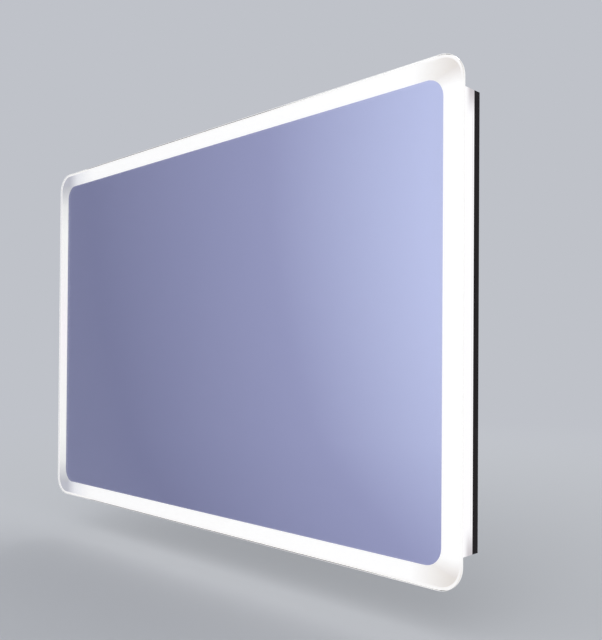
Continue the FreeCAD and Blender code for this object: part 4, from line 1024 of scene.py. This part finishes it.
@dataclass
class Studio:
    """A plain pale floor, soft light from two sides, and the camera of the photograph."""

    floor_level: float = -0.56
    floor_reach: float = 14.0
    floor: str = "#CCCDCF"
    backdrop: str = "#BFC2C9"
    air: str = "#EEF1F6"
    air_strength: float = 0.845
    # What the mirror shows around it: dim and cool to one side, bright straight ahead. Looking
    # up brightens it by the tilt, and looking down past the dip dims it.
    sheen: Stops = ((0.3, "#9496AE"), (0.52, "#898AA9"), (0.7, "#A8A9CB"), (0.83, "#D4D8F8"),
                    (1.0, "#E2E6FC"))
    tilt: float = 0.18
    dip: float = 0.107
    dimming: float = 0.229
    lamps: tuple[Lamp, ...] = (Lamp("front_lamp", (2.6, -4.4, 3.0), 3.6, False),
                               Lamp("back_lamp", (-2.4, 4.4, 2.6), 3.2, True))
    eye: Triple = (0.92036, -0.75794, -0.23054)
    right: Triple = (0.70828, 0.70590, 0.00687)
    upward: Triple = (0.00265, -0.01239, 0.99992)
    lens: float = 43.50
    sensor: float = 36.0
    rise: float = 0.0447

    def build_floor(self) -> None:
        """Lays the floor, which the mirror and other shiny faces don't show."""
        bm = bmesh.new()
        bmesh.ops.create_grid(bm, x_segments=2, y_segments=2, size=self.floor_reach,
                              matrix=Matrix.Translation((0, 0, self.floor_level)))
        mesh = bpy.data.meshes.new("floor")
        bm.to_mesh(mesh)
        bm.free()
        floor = bpy.data.objects.new("floor", mesh)
        bpy.context.scene.collection.objects.link(floor)
        finish = StudioFloor("pale_studio_floor", self.floor, 1.0, self.backdrop)
        mesh.materials.append(finish.material())
        floor.visible_glossy = False
        floor.visible_transmission = False

    def build_world(self) -> None:
        """Lights the object evenly, and gives the mirror a soft gradient to reflect."""
        world = bpy.data.worlds.new("studio_air")
        bpy.context.scene.world = world
        world.use_nodes = True
        world.node_tree.nodes.clear()
        add = partial(add_node, world.node_tree)
        aim = add("SeparateXYZ", {0: add("TexCoord").outputs["Generated"]})
        up = aim.outputs[2]
        ahead = add("Math", {0: aim.outputs[1], 1: -1.0}, operation="MULTIPLY")
        low = add("Math", {0: up, 1: self.dip}, operation="ADD")
        down = add("Math", {0: low, 1: 0.0}, operation="MINIMUM")
        tilted = add("Math", {0: up, 1: self.tilt, 2: ahead}, operation="MULTIPLY_ADD")
        front = add("Math", {0: down, 1: self.dimming, 2: tilted}, operation="MULTIPLY_ADD")
        sheen = add("ValToRGB", {0: front}, ((0.0, self.backdrop), *self.sheen))
        path = add("LightPath")
        shiny = add("Math", {0: path.outputs["Is Glossy Ray"],
                             1: path.outputs["Is Transmission Ray"]}, operation="MAXIMUM")
        light, seen, mirrored = (
            add("Background", {"Color": colour, "Strength": strength})
            for colour, strength in ((self.air, self.air_strength),
                                     (self.backdrop, 1.0), (sheen, 1.0)))
        plain = add("MixShader", {0: path.outputs["Is Camera Ray"], 1: light, 2: seen})
        both = add("MixShader", {0: shiny, 1: plain, 2: mirrored})
        add("OutputWorld", {"Surface": both})

    def build_camera(self) -> None:
        """Sets the camera where the photograph was taken from."""
        camera = bpy.data.cameras.new("photograph")
        camera.lens, camera.sensor_width, camera.shift_y = self.lens, self.sensor, self.rise
        camera.clip_start = 10 * MM
        stand = bpy.data.objects.new("photograph", camera)
        right, upward = Vector(self.right), Vector(self.upward)
        turn = Matrix((right, upward, right.cross(upward))).transposed()
        stand.matrix_world = Matrix.Translation(self.eye) @ turn.to_4x4()
        bpy.context.scene.collection.objects.link(stand)
        bpy.context.scene.camera = stand

    def build(self) -> None:
        """Builds the whole studio."""
        self.build_floor()
        self.build_world()
        for lamp in self.lamps:
            lamp.hang()
        self.build_camera()
        bpy.context.scene.view_settings.view_transform = "Standard"


def main() -> None:
    """Dresses the mirror from its front to its back, and builds the studio."""
    logging.basicConfig(level=logging.INFO, format="%(name)s: %(message)s")
    for assembly in (GlassPane(), *map(LightBar, Side), Carrier(), PowerSupply()):
        assembly.dress()
        assembly.build()
    Studio().build()


if __name__ == "__main__":
    main()
